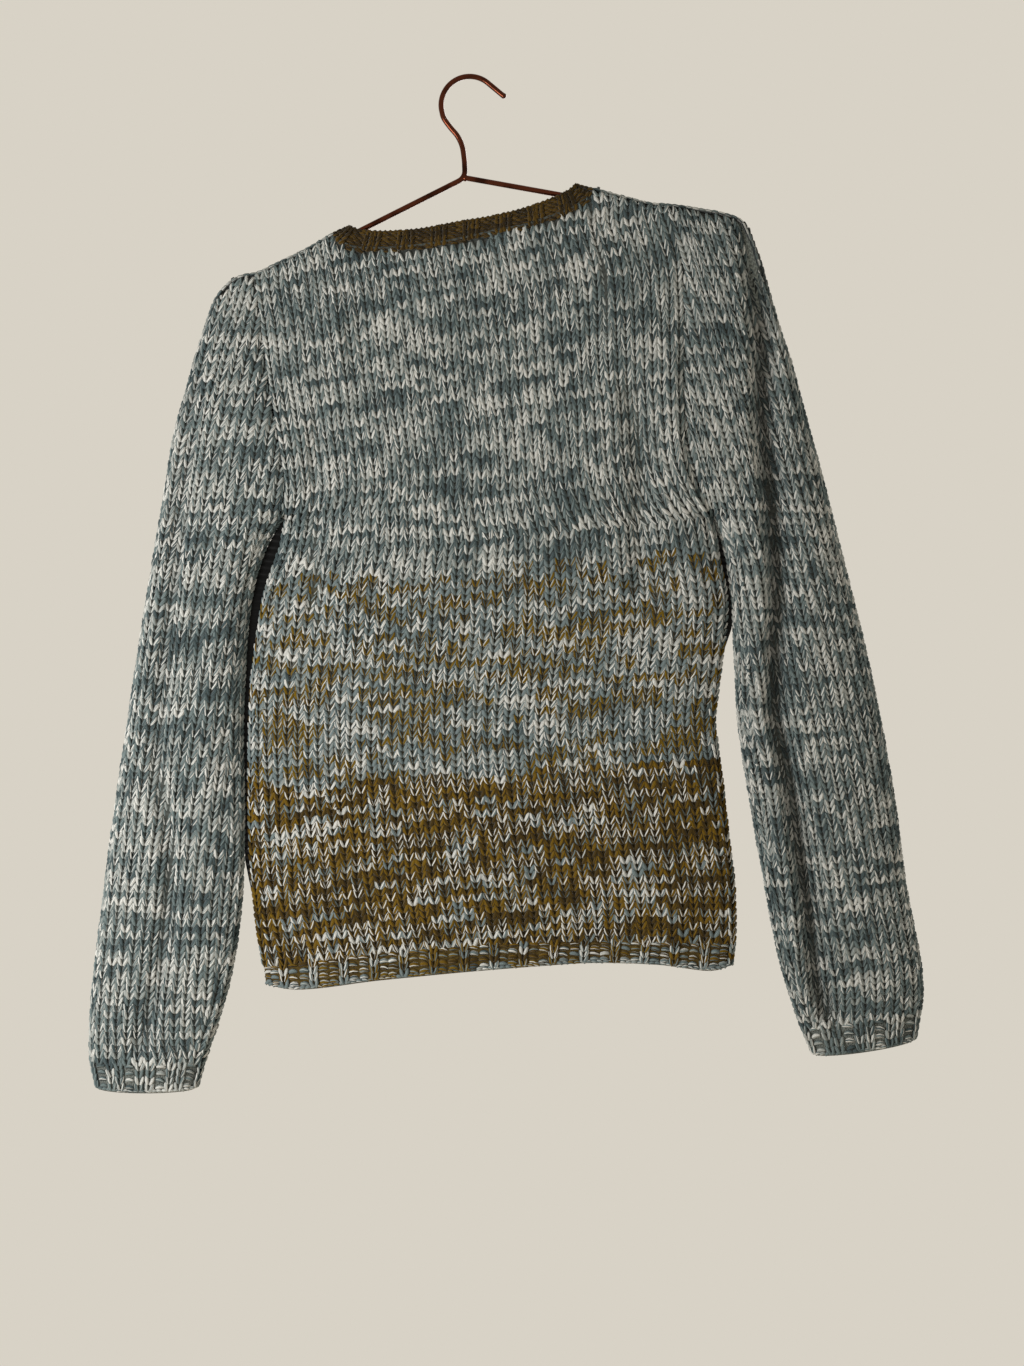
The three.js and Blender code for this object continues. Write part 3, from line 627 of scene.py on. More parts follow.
# The yarn has three plies whose colours change along the courses.
yarn = {
    "light": (184, 184, 179), "pale": (154, 157, 153), "grey": (129, 135, 132), "teal": (94, 106, 106),
    "blue": (100, 112, 113), "deepTeal": (60, 72, 74), "ochre": (96, 73, 2), "brown": (58, 43, 2),
    "gold": (96, 75, 1),
    "neckLight": (70, 51, 1), "neckDark": (41, 29, 1),
    "gain": 0.92, "unevenDye": 0.14,
    # how many courses and wales a run of colour goes over
    "sharedRun": (1.4, 3.6), "longRun": (3.0, 12), "ownRun": (1.05, 3.2),
    "sharedPart": 0.14, "longPart": 0.06, "lastPart": 0.6,     # how far the plies go along with the runs
    # shares of the colours in each of the three plies; the second and the third change together
    "cool": ([("deepTeal", 0.18), ("teal", 0.28), ("grey", 0.18), ("pale", 0.18), ("light", 0.18)],
             [("light", 0.22), ("pale", 0.24), ("grey", 0.06), ("teal", 0.30), ("deepTeal", 0.18)],
             [("light", 0.15), ("pale", 0.10), ("grey", 0.18), ("teal", 0.35), ("deepTeal", 0.22)]),
    "mixed": ([("deepTeal", 0.10), ("blue", 0.34), ("grey", 0.2), ("pale", 0.2), ("light", 0.16)],
              [("light", 0.26), ("blue", 0.34), ("deepTeal", 0.04), ("ochre", 0.10), ("gold", 0.26)],
              [("light", 0.10), ("blue", 0.34), ("grey", 0.14), ("brown", 0.14), ("gold", 0.28)]),
    "warm": ([("brown", 0.28), ("ochre", 0.24), ("blue", 0.16), ("pale", 0.08), ("light", 0.24)],
             [("light", 0.22), ("blue", 0.12), ("ochre", 0.40), ("brown", 0.26)],
             [("light", 0.08), ("blue", 0.14), ("ochre", 0.40), ("brown", 0.38)]),
    "neck": ([("neckLight", 0.6), ("neckDark", 0.4)], [("neckDark", 0.6), ("neckLight", 0.4)],
             [("neckDark", 0.5), ("neckLight", 0.5)]),
}
zoneNames = ("cool", "mixed", "warm", "neck")


# Values spread evenly from 0 to 1 in the order of the given ones.
def ranked(value):
    order = value.ravel().argsort().argsort()
    return ((order + 0.5) / order.size).reshape(value.shape)


# Soft noise over courses and wales.
def streaks(rng, courses, wales, tall, wide):
    grid = rng.random((int(courses / tall) + 3, int(wales / wide) + 3))
    rows, columns = np.arange(courses) / tall, np.arange(wales) / wide
    row, column = rows.astype(int), columns.astype(int)
    rowShare = smoothStep(0, 1, rows - row)[:, None]
    columnShare = smoothStep(0, 1, columns - column)[None, :]
    near = blend(grid[row][:, column], grid[row][:, column + 1], columnShare)
    far = blend(grid[row + 1][:, column], grid[row + 1][:, column + 1], columnShare)
    return ranked(blend(near, far, rowShare))


def plyColours(shares, value):
    names, amounts = zip(*shares)
    limits = np.cumsum(amounts) / sum(amounts)
    palette = np.array([linear(*yarn[name])[:3] for name in names])
    return palette[np.minimum(np.searchsorted(limits, value), len(names) - 1)]


# Colours of the three plies for a field of stitches; zone gives the yarn of each.
def dyeStitches(seed, courses, wales, zone):
    rng = np.random.default_rng(seed)
    shared = streaks(rng, courses, wales, *yarn["sharedRun"])
    long = streaks(rng, courses, wales, *yarn["longRun"])
    colours = []
    value = shared
    for ply in range(3):
        own = ranked(streaks(rng, courses, wales, *yarn["ownRun"]) + rng.random((courses, wales)))
        if ply < 2:
            value = ranked(own + yarn["sharedPart"] * shared + yarn["longPart"] * long)
        else:
            value = ranked(blend(own, value, yarn["lastPart"]))
        colour = np.zeros((courses, wales, 3))
        for index, name in enumerate(zoneNames):
            colour[zone == index] = plyColours(yarn[name][ply], value)[zone == index]
        dye = 1 + yarn["unevenDye"] * (rng.random((courses, wales, 1)) - 0.5)
        colours.append(colour * dye * yarn["gain"])
    return colours


def bodyZones(seed):
    rng = np.random.default_rng(seed)
    courses = np.arange(gauge["bodyCourses"])[:, None]
    wander = streaks(rng, 4, gauge["bodyWales"], *gauge["ochreRun"])[:2] - 0.5
    shift = np.round(gauge["ochreWander"] * wander)
    isMixed = courses < gauge["ochreFrom"] + shift[0]
    isWarm = courses < gauge["ochreFull"] + shift[1]
    return isMixed.astype(int) + isWarm.astype(int)


# A geometry tree with its named inputs, given as (label, kind, value).
def newTree(name, inputs, sizes=()):
    inputs = inputs + [(label, "Float", 0.0) for label in sizes]
    tree = bpy.data.node_groups.new(name, "GeometryNodeTree")
    tree.interface.new_socket("Geometry", in_out="OUTPUT", socket_type="NodeSocketGeometry")
    for label, kind, value in inputs:
        socket = tree.interface.new_socket(label, in_out="INPUT", socket_type="NodeSocket" + kind)
        if value is not None:
            socket.default_value = value
    graph = Graph(tree)
    start = tree.nodes.new("NodeGroupInput")
    return graph, {label: Signal(graph, start.outputs[label]) for label, _, _ in inputs}


def endTree(graph, geometry, material):
    real = graph.add("GeometryNodeRealizeInstances", {}, {"Geometry": geometry})
    smooth = graph.add("GeometryNodeSetShadeSmooth", {}, {"Geometry": real})
    done = graph.add("GeometryNodeSetMaterial", {}, {"Geometry": smooth, "Material": material})
    graph.add("NodeGroupOutput", {}, {"Geometry": done})


def attribute(graph, name, kind):
    return graph.add("GeometryNodeInputNamedAttribute", {"data_type": kind}, {"Name": name})


def store(graph, geometry, name, kind, domain, value):
    settings = {"data_type": kind, "domain": domain}
    sockets = {"Geometry": geometry, "Name": name, "Value": value}
    return graph.add("GeometryNodeStoreNamedAttribute", settings, sockets)


def vector(graph, x, y, z=0.0):
    return graph.add("ShaderNodeCombineXYZ", {}, {"X": x, "Y": y, "Z": z})


# How strands of yarn lie: blunter at their ends than an ellipsoid, bowed sideways and arched outwards.
strand = {"blunt": 0.45, "bow": 0.12, "arch": 0.18, "bumpArch": 0.5, "bumpLevel": 0.6, "nextPhase": 1.4,
          "wander": (0.4, 1, 0.6)}
cell = {"share": 0.92, "gap": 0.04, "leg": 0.48, "nextLeg": 0.52, "aspect": 1.8}    # of the baking map


# One strand of yarn, a slim closed grain along z whose crest is towards y.
def yarnGrain(graph, length, width, thick, phase=0.0):
    grain = graph.add("GeometryNodeMeshUVSphere", {}, {"Segments": 4, "Rings": 4, "Radius": 1.0})
    u, v, _ = graph.split(grain.other("UV Map"))
    grain = store(graph, grain, "unitMap", "FLOAT2", "CORNER", vector(graph, u, v))
    grain = store(graph, grain, "strand", "FLOAT2", "CORNER", vector(graph, u, v + phase))
    x, y, z = graph.split(graph.add("GeometryNodeInputPosition"))
    full = z * z * strand["blunt"] + 1
    return grain, x * full * width * -0.5, y * full * thick * -0.5, z * length * 0.5, z * 0.5 + 0.5


def setPlace(graph, geometry, x, y, z):
    sockets = {"Geometry": geometry, "Position": vector(graph, x, y, z)}
    return graph.add("GeometryNodeSetPosition", {}, sockets)


# Puts a unit on every point of a carrier mesh, turned and sized by the points' own attributes, and
# lays the baking map out so that every unit has a cell of its own.
def spreadUnit(graph, unit, sockets):
    rotation = graph.add("FunctionNodeAxesToRotation", {"primary_axis": "Z", "secondary_axis": "Y"},
                         {"Primary Axis": attribute(graph, "up", "FLOAT_VECTOR"),
                          "Secondary Axis": attribute(graph, "out", "FLOAT_VECTOR")})
    least = vector(graph, *(sockets["Wander"] * -turn for turn in strand["wander"]))
    most = vector(graph, *(sockets["Wander"] * turn for turn in strand["wander"]))
    nudge = graph.add("FunctionNodeRandomValue", {"data_type": "FLOAT_VECTOR"},
                      {0: least, 1: most, "Seed": sockets["Seed"]})
    rotation = graph.add("FunctionNodeRotateRotation", {"rotation_space": "LOCAL"},
                         {"Rotation": rotation, "Rotate By": nudge})
    placed = graph.add("GeometryNodeInstanceOnPoints", {},
                       {"Points": sockets["Geometry"], "Instance": unit, "Rotation": rotation,
                        "Scale": attribute(graph, "size", "FLOAT_VECTOR")})
    real = graph.add("GeometryNodeRealizeInstances", {}, {"Geometry": placed})
    number = attribute(graph, "cell", "FLOAT")
    column = number.math("FLOORED_MODULO", sockets["Cells Across"])
    row = (number / sockets["Cells Across"]).math("FLOOR")
    localU, localV, _ = graph.split(attribute(graph, "unitMap", "FLOAT_VECTOR"))
    u = (column + localU * cell["share"] + cell["gap"]) / sockets["Cells Across"]
    v = (row + localV * cell["share"] + cell["gap"]) / sockets["Cells Up"]
    mapped = store(graph, real, "OFBake", "FLOAT2", "CORNER", vector(graph, u, v))
    endTree(graph, mapped, sockets["Material"])
    return graph.tree


commonInputs = [("Geometry", "Geometry", None), ("Wander", "Float", 0.0), ("Seed", "Int", 0),
                ("Cells Across", "Float", 1.0), ("Cells Up", "Float", 1.0), ("Material", "Material", None)]


# A knit stitch: two legs of yarn that lean apart upwards.
def knitTree():
    sizes = ("Leg Length", "Leg Width", "Leg Height", "Foot", "Head", "Tilt")
    graph, sockets = newTree("knitStitch", commonInputs, sizes)
    length, width, thick, foot, head, tilt = (sockets[name] for name in sizes)
    unit = graph.add("GeometryNodeJoinGeometry")
    for turn in (1, -1):
        phase, start = (0.0, 0.0) if turn > 0 else (strand["nextPhase"], cell["nextLeg"])
        grain, x, y, z, share = yarnGrain(graph, length, width, thick, phase)
        bow = (share * math.pi).sine()
        centre = foot + (head - foot) * share + bow * width * strand["bow"]
        rise = (0.5 - share) * tilt + bow * thick * strand["arch"]
        leg = setPlace(graph, grain, x + centre * turn, y + rise, z)
        u, v, _ = graph.split(attribute(graph, "unitMap", "FLOAT_VECTOR"))
        leg = store(graph, leg, "unitMap", "FLOAT2", "CORNER", vector(graph, u * cell["leg"] + start, v))
        graph.tree.links.new(leg.socket, unit.socket.node.inputs[0])
    return spreadUnit(graph, unit, sockets)


# A purl bump, or one loop of an edge: a grain laid along x and arched by its bend.
def purlTree():
    sizes = ("Bump Length", "Bump Width", "Bump Height", "Bend")
    graph, sockets = newTree("purlBump", commonInputs, sizes)
    length, width, thick, bend = (sockets[name] for name in sizes)
    grain, x, y, z, share = yarnGrain(graph, length, width, thick)
    bow = (share * math.pi).sine() - strand["bumpLevel"]
    rise = y + bow * thick * strand["bumpArch"]
    unit = setPlace(graph, grain, z, rise, x * -1 + bow * bend)
    return spreadUnit(graph, unit, sockets)


# A round wire along the edges of a path.
def wireTree():
    inputs = [("Geometry", "Geometry", None), ("Wire Radius", "Float", 0.002), ("Sides", "Int", 20),
              ("Material", "Material", None)]
    graph, sockets = newTree("sweptWire", inputs)
    path = graph.add("GeometryNodeMeshToCurve", {}, {"Mesh": sockets["Geometry"]})
    ring = graph.add("GeometryNodeCurvePrimitiveCircle", {},
                     {"Resolution": sockets["Sides"], "Radius": sockets["Wire Radius"]})
    swept = graph.add("GeometryNodeCurveToMesh", {},
                      {"Curve": path, "Profile Curve": ring, "Fill Caps": True})
    endTree(graph, swept, sockets["Material"])
    return graph.tree


# Runs a tree on a carrier mesh and returns one object that holds the result as a plain mesh.
def grow(name, carrier, tree, values):
    piece = putInScene(name, carrier)
    modifier = piece.modifiers.new(name, "NODES")
    modifier.node_group = tree
    for item in tree.interface.items_tree:
        if item.in_out == "INPUT" and item.name in values:
            modifier[item.identifier] = values[item.name]
    view = bpy.context.evaluated_depsgraph_get()
    evaluated = piece.evaluated_get(view)
    mesh = bpy.data.meshes.new_from_object(evaluated, preserve_all_data_layers=True, depsgraph=view)
    piece.modifiers.remove(modifier)
    piece.data = mesh
    mesh.name = name
    return piece


plyNames = ("plyA", "plyB", "plyC")


def giveAttribute(mesh, name, kind, values):
    field = {"FLOAT": "value", "FLOAT_VECTOR": "vector", "FLOAT_COLOR": "color"}[kind]
    mesh.attributes.new(name, kind, "POINT").data.foreach_set(field, values.ravel())


def carrierMesh(name, places, colours, seed):
    mesh = bpy.data.meshes.new(name + "Points")
    count = len(places["place"])
    mesh.vertices.add(count)
    mesh.vertices.foreach_set("co", places["place"].ravel())
    for key in ("out", "up", "size"):
        giveAttribute(mesh, key, "FLOAT_VECTOR", places[key])
    for key, colour in zip(plyNames, colours):
        giveAttribute(mesh, key, "FLOAT_COLOR", np.concatenate([colour, np.ones((count, 1))], axis=1))
    giveAttribute(mesh, "cell", "FLOAT", np.arange(count, dtype=float))
    giveAttribute(mesh, "phase", "FLOAT", np.random.default_rng(seed).random(count))
    return mesh


faceCounts = {}


def growStitches(name, places, colours, tree, shape, seed):
    count = len(places["place"])
    across = math.ceil(math.sqrt(count / cell["aspect"]))
    values = {**shape, "Cells Across": float(across), "Cells Up": float(math.ceil(count / across)),
              "Seed": seed, "Material": woolMaterial}
    piece = grow(name, carrierMesh(name, places, colours, seed), tree, values)
    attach(piece, "root")
    faceCounts[name] = sum(len(face.vertices) - 2 for face in piece.data.polygons)
    print(name, count, "stitches,", faceCounts[name], "triangles")
    return piece


def newMaterial(name):
    material = bpy.data.materials.new(name)
    material.use_nodes = True
    material.node_tree.nodes.clear()
    return material, Graph(material.node_tree)


def finish(graph, look):
    shader = graph.add("ShaderNodeBsdfPrincipled", {}, look)
    graph.add("ShaderNodeOutputMaterial", {}, {"Surface": shader})


def finishWool(graph, colour, bump, look):
    finish(graph, {"Base Color": colour, "Normal": bump, "Roughness": look["roughness"],
                   "Specular IOR Level": look["specular"], "Sheen Weight": look["sheen"],
                   "Sheen Roughness": look["sheenRoughness"]})


def ridges(turns):
    return (turns * 2 * math.pi).sine()


# A strand shows its three plies one after the other along its twist, with grooves between them; the grooves
# and the flanks of the strand are darkened as painted shade.
wool = {"plyTurns": 2.5, "twist": 0.35, "phase": 3, "plyEdges": ((0.30, 0.37), (0.63, 0.70)),
        "fibre": 0.40, "fibreScale": 1100.0, "fibreBump": 0.8, "deep": 0.18, "crest": (0.05, 0.75),
        "groove": 0.52, "grooveLift": 0.75, "grooveWidth": 0.6, "bump": 0.7, "bumpHeight": 0.0005,
        "roughness": 0.9, "specular": 0.2, "sheen": 0.10, "sheenRoughness": 0.4}


def makeWool():
    material, graph = newMaterial("marledWool")
    around, along, _ = graph.split(graph.add("ShaderNodeUVMap", {"uv_map": "strand"}))
    phase = graph.add("ShaderNodeAttribute", {"attribute_name": "phase"}, output="Fac")
    turned = around * wool["plyTurns"] + along * wool["twist"] + phase * wool["phase"]
    share = turned.math("FRACT")
    plies = [graph.add("ShaderNodeAttribute", {"attribute_name": name}) for name in plyNames]
    colour = plies[0]
    for ply, edge in zip(plies[1:], wool["plyEdges"]):
        colour = graph.mixColour(graph.step(share, *edge), colour, ply)
    hair = graph.noise(graph.add("ShaderNodeTexCoord", output="Object"), wool["fibreScale"], 3.0)
    # Painted shade: the grooves between the plies and the strand's flanks away from its crest are darkened.
    groove = graph.step((turned * 3 * math.pi).sine().math("ABSOLUTE"), 0.0, wool["grooveWidth"])
    crest = 0.5 - (around * 2 * math.pi).math("COSINE") * 0.5
    shade = graph.step(crest, *wool["crest"]) * (1 - wool["deep"]) + wool["deep"]
    shade = shade * (groove * wool["groove"] + (1 - wool["groove"] * wool["grooveLift"]))
    shade = shade * (hair * wool["fibre"] + (1 - wool["fibre"] / 2))
    bump = graph.bump(wool["bump"], wool["bumpHeight"], groove + hair * wool["fibreBump"])
    finishWool(graph, graph.shaded(colour, shade), bump, wool)
    return material


# The cloth under the stitches, with purl ridges: how dark it is, and how much its ridges add to that. The
# outside and band cloth are made far darker than the inside as painted shade between the stitches, and the
# ridges get painted shading, lighter on their crests.
ground = {"outside": (0.20, 0.16), "inside": (0.45, 0.75), "band": (0.42, 0.30), "ripple": 0.22,
          "ridge": 0.6, "fibreScale": 3.0, "fibreBump": 0.3, "bump": 0.8, "bumpHeight": 0.0012,
          "roughness": 0.95, "specular": 0.1, "sheen": 0.1, "sheenRoughness": 0.5}


def makeGround(part):
    material, graph = newMaterial("ground" + part.capitalize())
    low, gain = ground[part]
    colour = graph.add("ShaderNodeAttribute", {"attribute_name": "ground"})
    place = graph.add("ShaderNodeUVMap", {"uv_map": "fabric"})
    wale, course, _ = graph.split(place)
    # Painted shading: the cloth is lighter along the crests of its ridges; low and gain darken it, outside
    # and in the bands as painted shade between the stitches.
    ridge = ridges(course + ridges(wale) * ground["ripple"]) * 0.5 + 0.5
    fibre = graph.noise(place, ground["fibreScale"], 4.0)
    shade = (ridge * ground["ridge"] + fibre * (1 - ground["ridge"])) * gain + low
    bump = graph.bump(ground["bump"], ground["bumpHeight"], ridge + fibre * ground["fibreBump"])
    finishWool(graph, graph.shaded(colour, shade), bump, ground)
    return material


copper = {"colour": (84, 44, 30), "dull": (50, 26, 18), "cloudScale": 60.0, "dullFrom": (0.42, 0.68),
          "roughness": 0.16, "cloudRoughness": 0.12, "fineScale": 900.0, "bump": 0.03, "bumpHeight": 0.0001}


def makeCopper():
    material, graph = newMaterial("copperPlatedWire")
    place = graph.add("ShaderNodeTexCoord", output="Object")
    cloud = graph.noise(place, copper["cloudScale"], 3.0)
    fine = graph.noise(place, copper["fineScale"], 2.0)
    clean, dull = linear(*copper["colour"]), linear(*copper["dull"])
    colour = graph.mixColour(graph.step(cloud, *copper["dullFrom"]), clean, dull)
    finish(graph, {"Base Color": colour, "Metallic": 1.0,
                   "Normal": graph.bump(copper["bump"], copper["bumpHeight"], fine),
                   "Roughness": cloud * copper["cloudRoughness"] + copper["roughness"]})
    return material


woolMaterial, copperMaterial = makeWool(), makeCopper()
# Darker copies of one ground for the outside and the bands are painted shade between the stitches.
groundOutside, groundInside, groundBand = (makeGround(part) for part in ("outside", "inside", "band"))
knitStitch, purlBump, sweptWire = knitTree(), purlTree(), wireTree()

# Ground colours of the yarn zones; 'shade' is a near-black painted shade for the underarm slots.
zoneColours = {"cool": linear(112, 117, 112), "mixed": linear(106, 104, 88),
               "warm": linear(84, 68, 28), "neck": linear(78, 58, 10), "shade": linear(3, 3, 3)}


def faceCorners(index, sign):
    corners = [index[:-1, :-1], index[:-1, 1:], index[1:, 1:], index[1:, :-1]]
    return np.stack(corners[::1 if sign > 0 else -1], axis=-1).reshape(-1, 4)


# A thin closed wall from a grid of surface points; in a ring the last column is the first one.
def makeShell(name, points, sign, fabric, zone, node, outside, isRing=False):
    out = outwards(points, sign)
    index = np.arange(zone.size).reshape(zone.shape)
    unwrapped = faceCorners(index, sign)
    if isRing:
        out[:, 0] = out[:, -1] = unit(out[:, 0] + out[:, -1])
        index[:, -1] = index[:, 0]
    flat = (points - out * garment["groundDepth"]).reshape(-1, 3)
    used, faces = np.unique(faceCorners(index, sign), return_inverse=True)
    mesh = bpy.data.meshes.new(name)
    mesh.from_pydata(flat[used].tolist(), [], faces.reshape(-1, 4).tolist())
    layer = mesh.uv_layers.new(name="fabric")
    layer.uv.foreach_set("vector", fabric.reshape(-1, 2)[unwrapped].astype(np.float32).ravel())
    palette = np.array([zoneColours[zoneName] for zoneName in (*zoneNames, "shade")])
    giveAttribute(mesh, "ground", "FLOAT_COLOR", palette[zone.ravel()[used]])
    mesh.materials.append(outside)
    mesh.materials.append(groundInside)
    mesh.shade_smooth()
    shell = putInScene(name, mesh)
    wall = shell.modifiers.new("wall", "SOLIDIFY")
    wall.thickness = garment["groundThick"]
    wall.offset = -1
    wall.material_offset = 1
    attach(shell, "root")
    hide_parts(node)
    return shell


def legShape(length, width, height, foot, head, tilt, wander):
    return {"Leg Length": length, "Leg Width": width, "Leg Height": height, "Foot": foot, "Head": head,
            "Tilt": tilt, "Wander": wander}


def bumpShape(length, width, height, bend, wander):
    return {"Bump Length": length, "Bump Width": width, "Bump Height": height, "Bend": bend,
            "Wander": wander}


# How far a leg's lower and upper end are from the wale's middle is its foot and its head; the tilt is
# how much the lower end stands in front of the upper end.
stitchShapes = {
    "upper": legShape(0.0085, 0.0039, 0.0032, foot=0.0009, head=0.0035, tilt=-0.0002, wander=0.08),
    "lower": legShape(0.0079, 0.0039, 0.0032, foot=0.0007, head=0.0037, tilt=-0.0002, wander=0.08),
    "sleeve": legShape(0.0083, 0.0039, 0.0032, foot=0.0008, head=0.0036, tilt=-0.0002, wander=0.09),
}
sink = {"body": 0.00135, "chain": 0.0012, "knit": 0.0010, "purl": 0.0015}    # depth of a strand's middle


def colourOf(colours, places):
    return [colour[places["course"], places["wale"]] for colour in colours]


def sunk(places, depth):
    return {**places, "place": places["place"] - places["out"] * depth}


# Points of the cloth's grids: columns round a piece, and rows on each stretch of its height.
gridSize = {"bodyColumns": 41, "bodyRows": (26, 22, 6), "sleeveColumns": 57, "sleeveRows": (36, 24),
            "bandRows": 4}
nearFold = (0.004, 0.012)                 # extra columns beside the side folds, as shares of the width


def gridRows(*counts):
    return np.concatenate([[0]] + [stretch + np.arange(1, count + 1) / count
                                   for stretch, count in enumerate(counts)])


def buildBody(face, seed):
    sign = -faceSigns[face]
    points, valid = bodyLattice(face)
    places = sunk(stitchPlaces(points, valid, sign, seed), sink["body"])
    courses, wales = gauge["bodyCourses"], gauge["bodyWales"]
    colours = dyeStitches(seed, courses, wales, bodyZones(seed + 1))
    isUpper = places["course"] >= gauge["ochreFrom"]
    pieces = []
    for part, keep in (("upper", isUpper), ("lower", ~isUpper)):
        some = pick(places, keep)
        pieces.append(growStitches(face + "Knit" + part.capitalize(), some, colourOf(colours, some),
                                   knitStitch, stitchShapes[part], seed))
    extra = (*nearFold, *(1 - share for share in nearFold), neckStart, neckEnd)
    columns = np.sort(np.concatenate([np.linspace(0, 1, gridSize["bodyColumns"]), extra]))
    across, height = np.meshgrid(columns, gridRows(*gridSize["bodyRows"]))
    grid, _ = bodyPoint(face, across, height)
    course = (grid[..., 2] - gauge["castOn"]) / gauge["course"]
    zone = (course < gauge["ochreFrom"]).astype(int) + (course < gauge["ochreFull"]).astype(int)
    fabric = np.stack([across * wales, course], axis=-1)
    # The underarm cloth takes the near-black 'shade' colour, a painted shade for the slots between body and
    # sleeve.
    zone = np.where(closeGap(grid, height, faceSigns[face]), len(zoneNames), zone)
    shell = makeShell(face + "Ground", grid, sign, fabric, zone, face + "_panel",
                      groundOutside)
    return shell, pieces


gapWidths = {   # how far the cloth between body and sleeve reaches under the arm, by height
    "left": [(-0.640, 0.000), (-0.610, 0.0040), (-0.484, 0.0050), (-0.430, 0.0070), (-0.399, 0.0105),
             (-0.362, 0.0100), (-0.345, 0.0020)],
    "right": [(-0.450, 0.0000), (-0.424, 0.0050), (-0.375, 0.0050), (-0.345, 0.0020)],
}
gapHalfDepth = 0.0022


# Draws the side folds out so that the cloth of the underarm meets the sleeve, and tells where that cloth is
# coloured near black as painted shade.
def closeGap(grid, height, faceSign):
    isPaintedShade = np.zeros(height.shape, dtype=bool)
    for side, column, near in (("left", 0, slice(0, 3)), ("right", -1, slice(-3, None))):
        z, width = zip(*gapWidths[side])
        reach = np.interp(grid[:, column, 2], z, width) * (height[:, column] <= 1)
        grid[:, column, 0] += reach * outward[side]
        grid[:, column, 1] = np.where(reach > 0, faceSign * gapHalfDepth, grid[:, column, 1])
        isPaintedShade[:, near] = reach[:, None] > 0
    return isPaintedShade


backGround, backKnit = buildBody("back", 11)
frontGround, frontKnit = buildBody("front", 23)
print("body knitted")


sleeve = {
    "firstWales": (0, 24, 0, 30, 54, 30), "wales": 60,      # each part's place in the field of colours
    "wrapWales": 14,                      # wales of the inside from a fold to a seam
    "creaseDepth": 0.017, "creaseShade": 0.55,              # painted shade: the yarn is darkened deep in a crease
}


def buildSleeve(side, seed):
    sign = outward[side]
    name = side.capitalize()
    groups = [stitchPlaces(points, valid, sign, seed + i)
              for i, (points, valid) in enumerate(sleeveLattices(side))]
    for order, (group, first) in enumerate(zip(groups, sleeve["firstWales"])):
        group["wale"] = group["wale"] + first
        group["course"] = group["course"] + (gauge["sleeveCourses"] if order % 3 == 2 else 0)
    places = sunk(joined(groups), sink["body"])
    courses, wales = gauge["sleeveCourses"] + gauge["capCourses"], sleeve["wales"]
    colours = dyeStitches(seed, courses, wales, np.zeros((courses, wales), dtype=int))
    x, _, z = places["place"].T
    # Painted shade: each stitch's yarn colours are darkened by how deep the crease sinks at its place.
    sinking = np.clip(foldDepth(side, x, z) / sleeve["creaseDepth"], 0, 1)
    paintedCreaseShade = (1 - sleeve["creaseShade"] * sinking**2)[:, None]
    knit = growStitches("sleeveKnit" + name, places, [ply * paintedCreaseShade for ply in colourOf(colours, places)],
                        knitStitch, stitchShapes["sleeve"], seed)
    columns = np.linspace(-1, 1, gridSize["sleeveColumns"])
    around, height = np.meshgrid(columns, gridRows(*gridSize["sleeveRows"]))
    grid = sleevePoint(side, around, height)
    fabric = np.stack([around * sleeve["wrapWales"], height * gauge["sleeveCourses"]], axis=-1)
    shell = makeShell("sleeveGround" + name, grid, sign, fabric, np.zeros(around.shape, dtype=int),
                      "sleeve_" + side, groundOutside)
    return shell, knit


leftGround, leftKnit = buildSleeve("left", 37)
rightGround, rightKnit = buildSleeve("right", 41)
print("sleeves knitted")


# Evenly spaced spots along a line, and the values that they have there of given lists.
def spacedAlong(line, pitch, *lists):
    lengths = grownLengths(line[None])[0]
    spots = np.arange(0.5, lengths[-1] / pitch) * pitch
    columns = [[np.interp(spots, lengths, column) for column in values.T] for values in lists]
    return spots / lengths[-1], [np.stack(column, axis=1) for column in columns]


# Stitches along the shoulders and the tops of the sleeves.
def buildChain(side, seed):
    upper = outline[side + "Shoulder"]
    cap = outline[side]["cap"][1:gauge["capCorner"][side] + 2]
    path = SmoothLine(cap[::-1] + upper if side == "left" else upper + cap)
    x, z = path.at(np.linspace(0, 1, fineness["chain"]))
    line = np.stack([x, 0 * x, z], axis=1)
    spots, (place, run) = spacedAlong(line, gauge["course"], line, unit(np.gradient(line, axis=0)))
    count = len(spots)
    out = np.stack([-run[:, 2], 0 * spots, run[:, 0]], axis=1)
    places = {"place": place, "out": out, "up": run, "size": np.ones((count, 3)),
              "course": np.arange(count), "wale": np.zeros(count, dtype=int)}
    places = sunk(places, sink["chain"])
    colours = dyeStitches(seed, count, 3, np.zeros((count, 3), dtype=int))
    return growStitches("chain" + side.capitalize(), places, colourOf(colours, places), knitStitch,
                        stitchShapes["upper"], seed)


leftChain, rightChain = buildChain("left", 43), buildChain("right", 47)


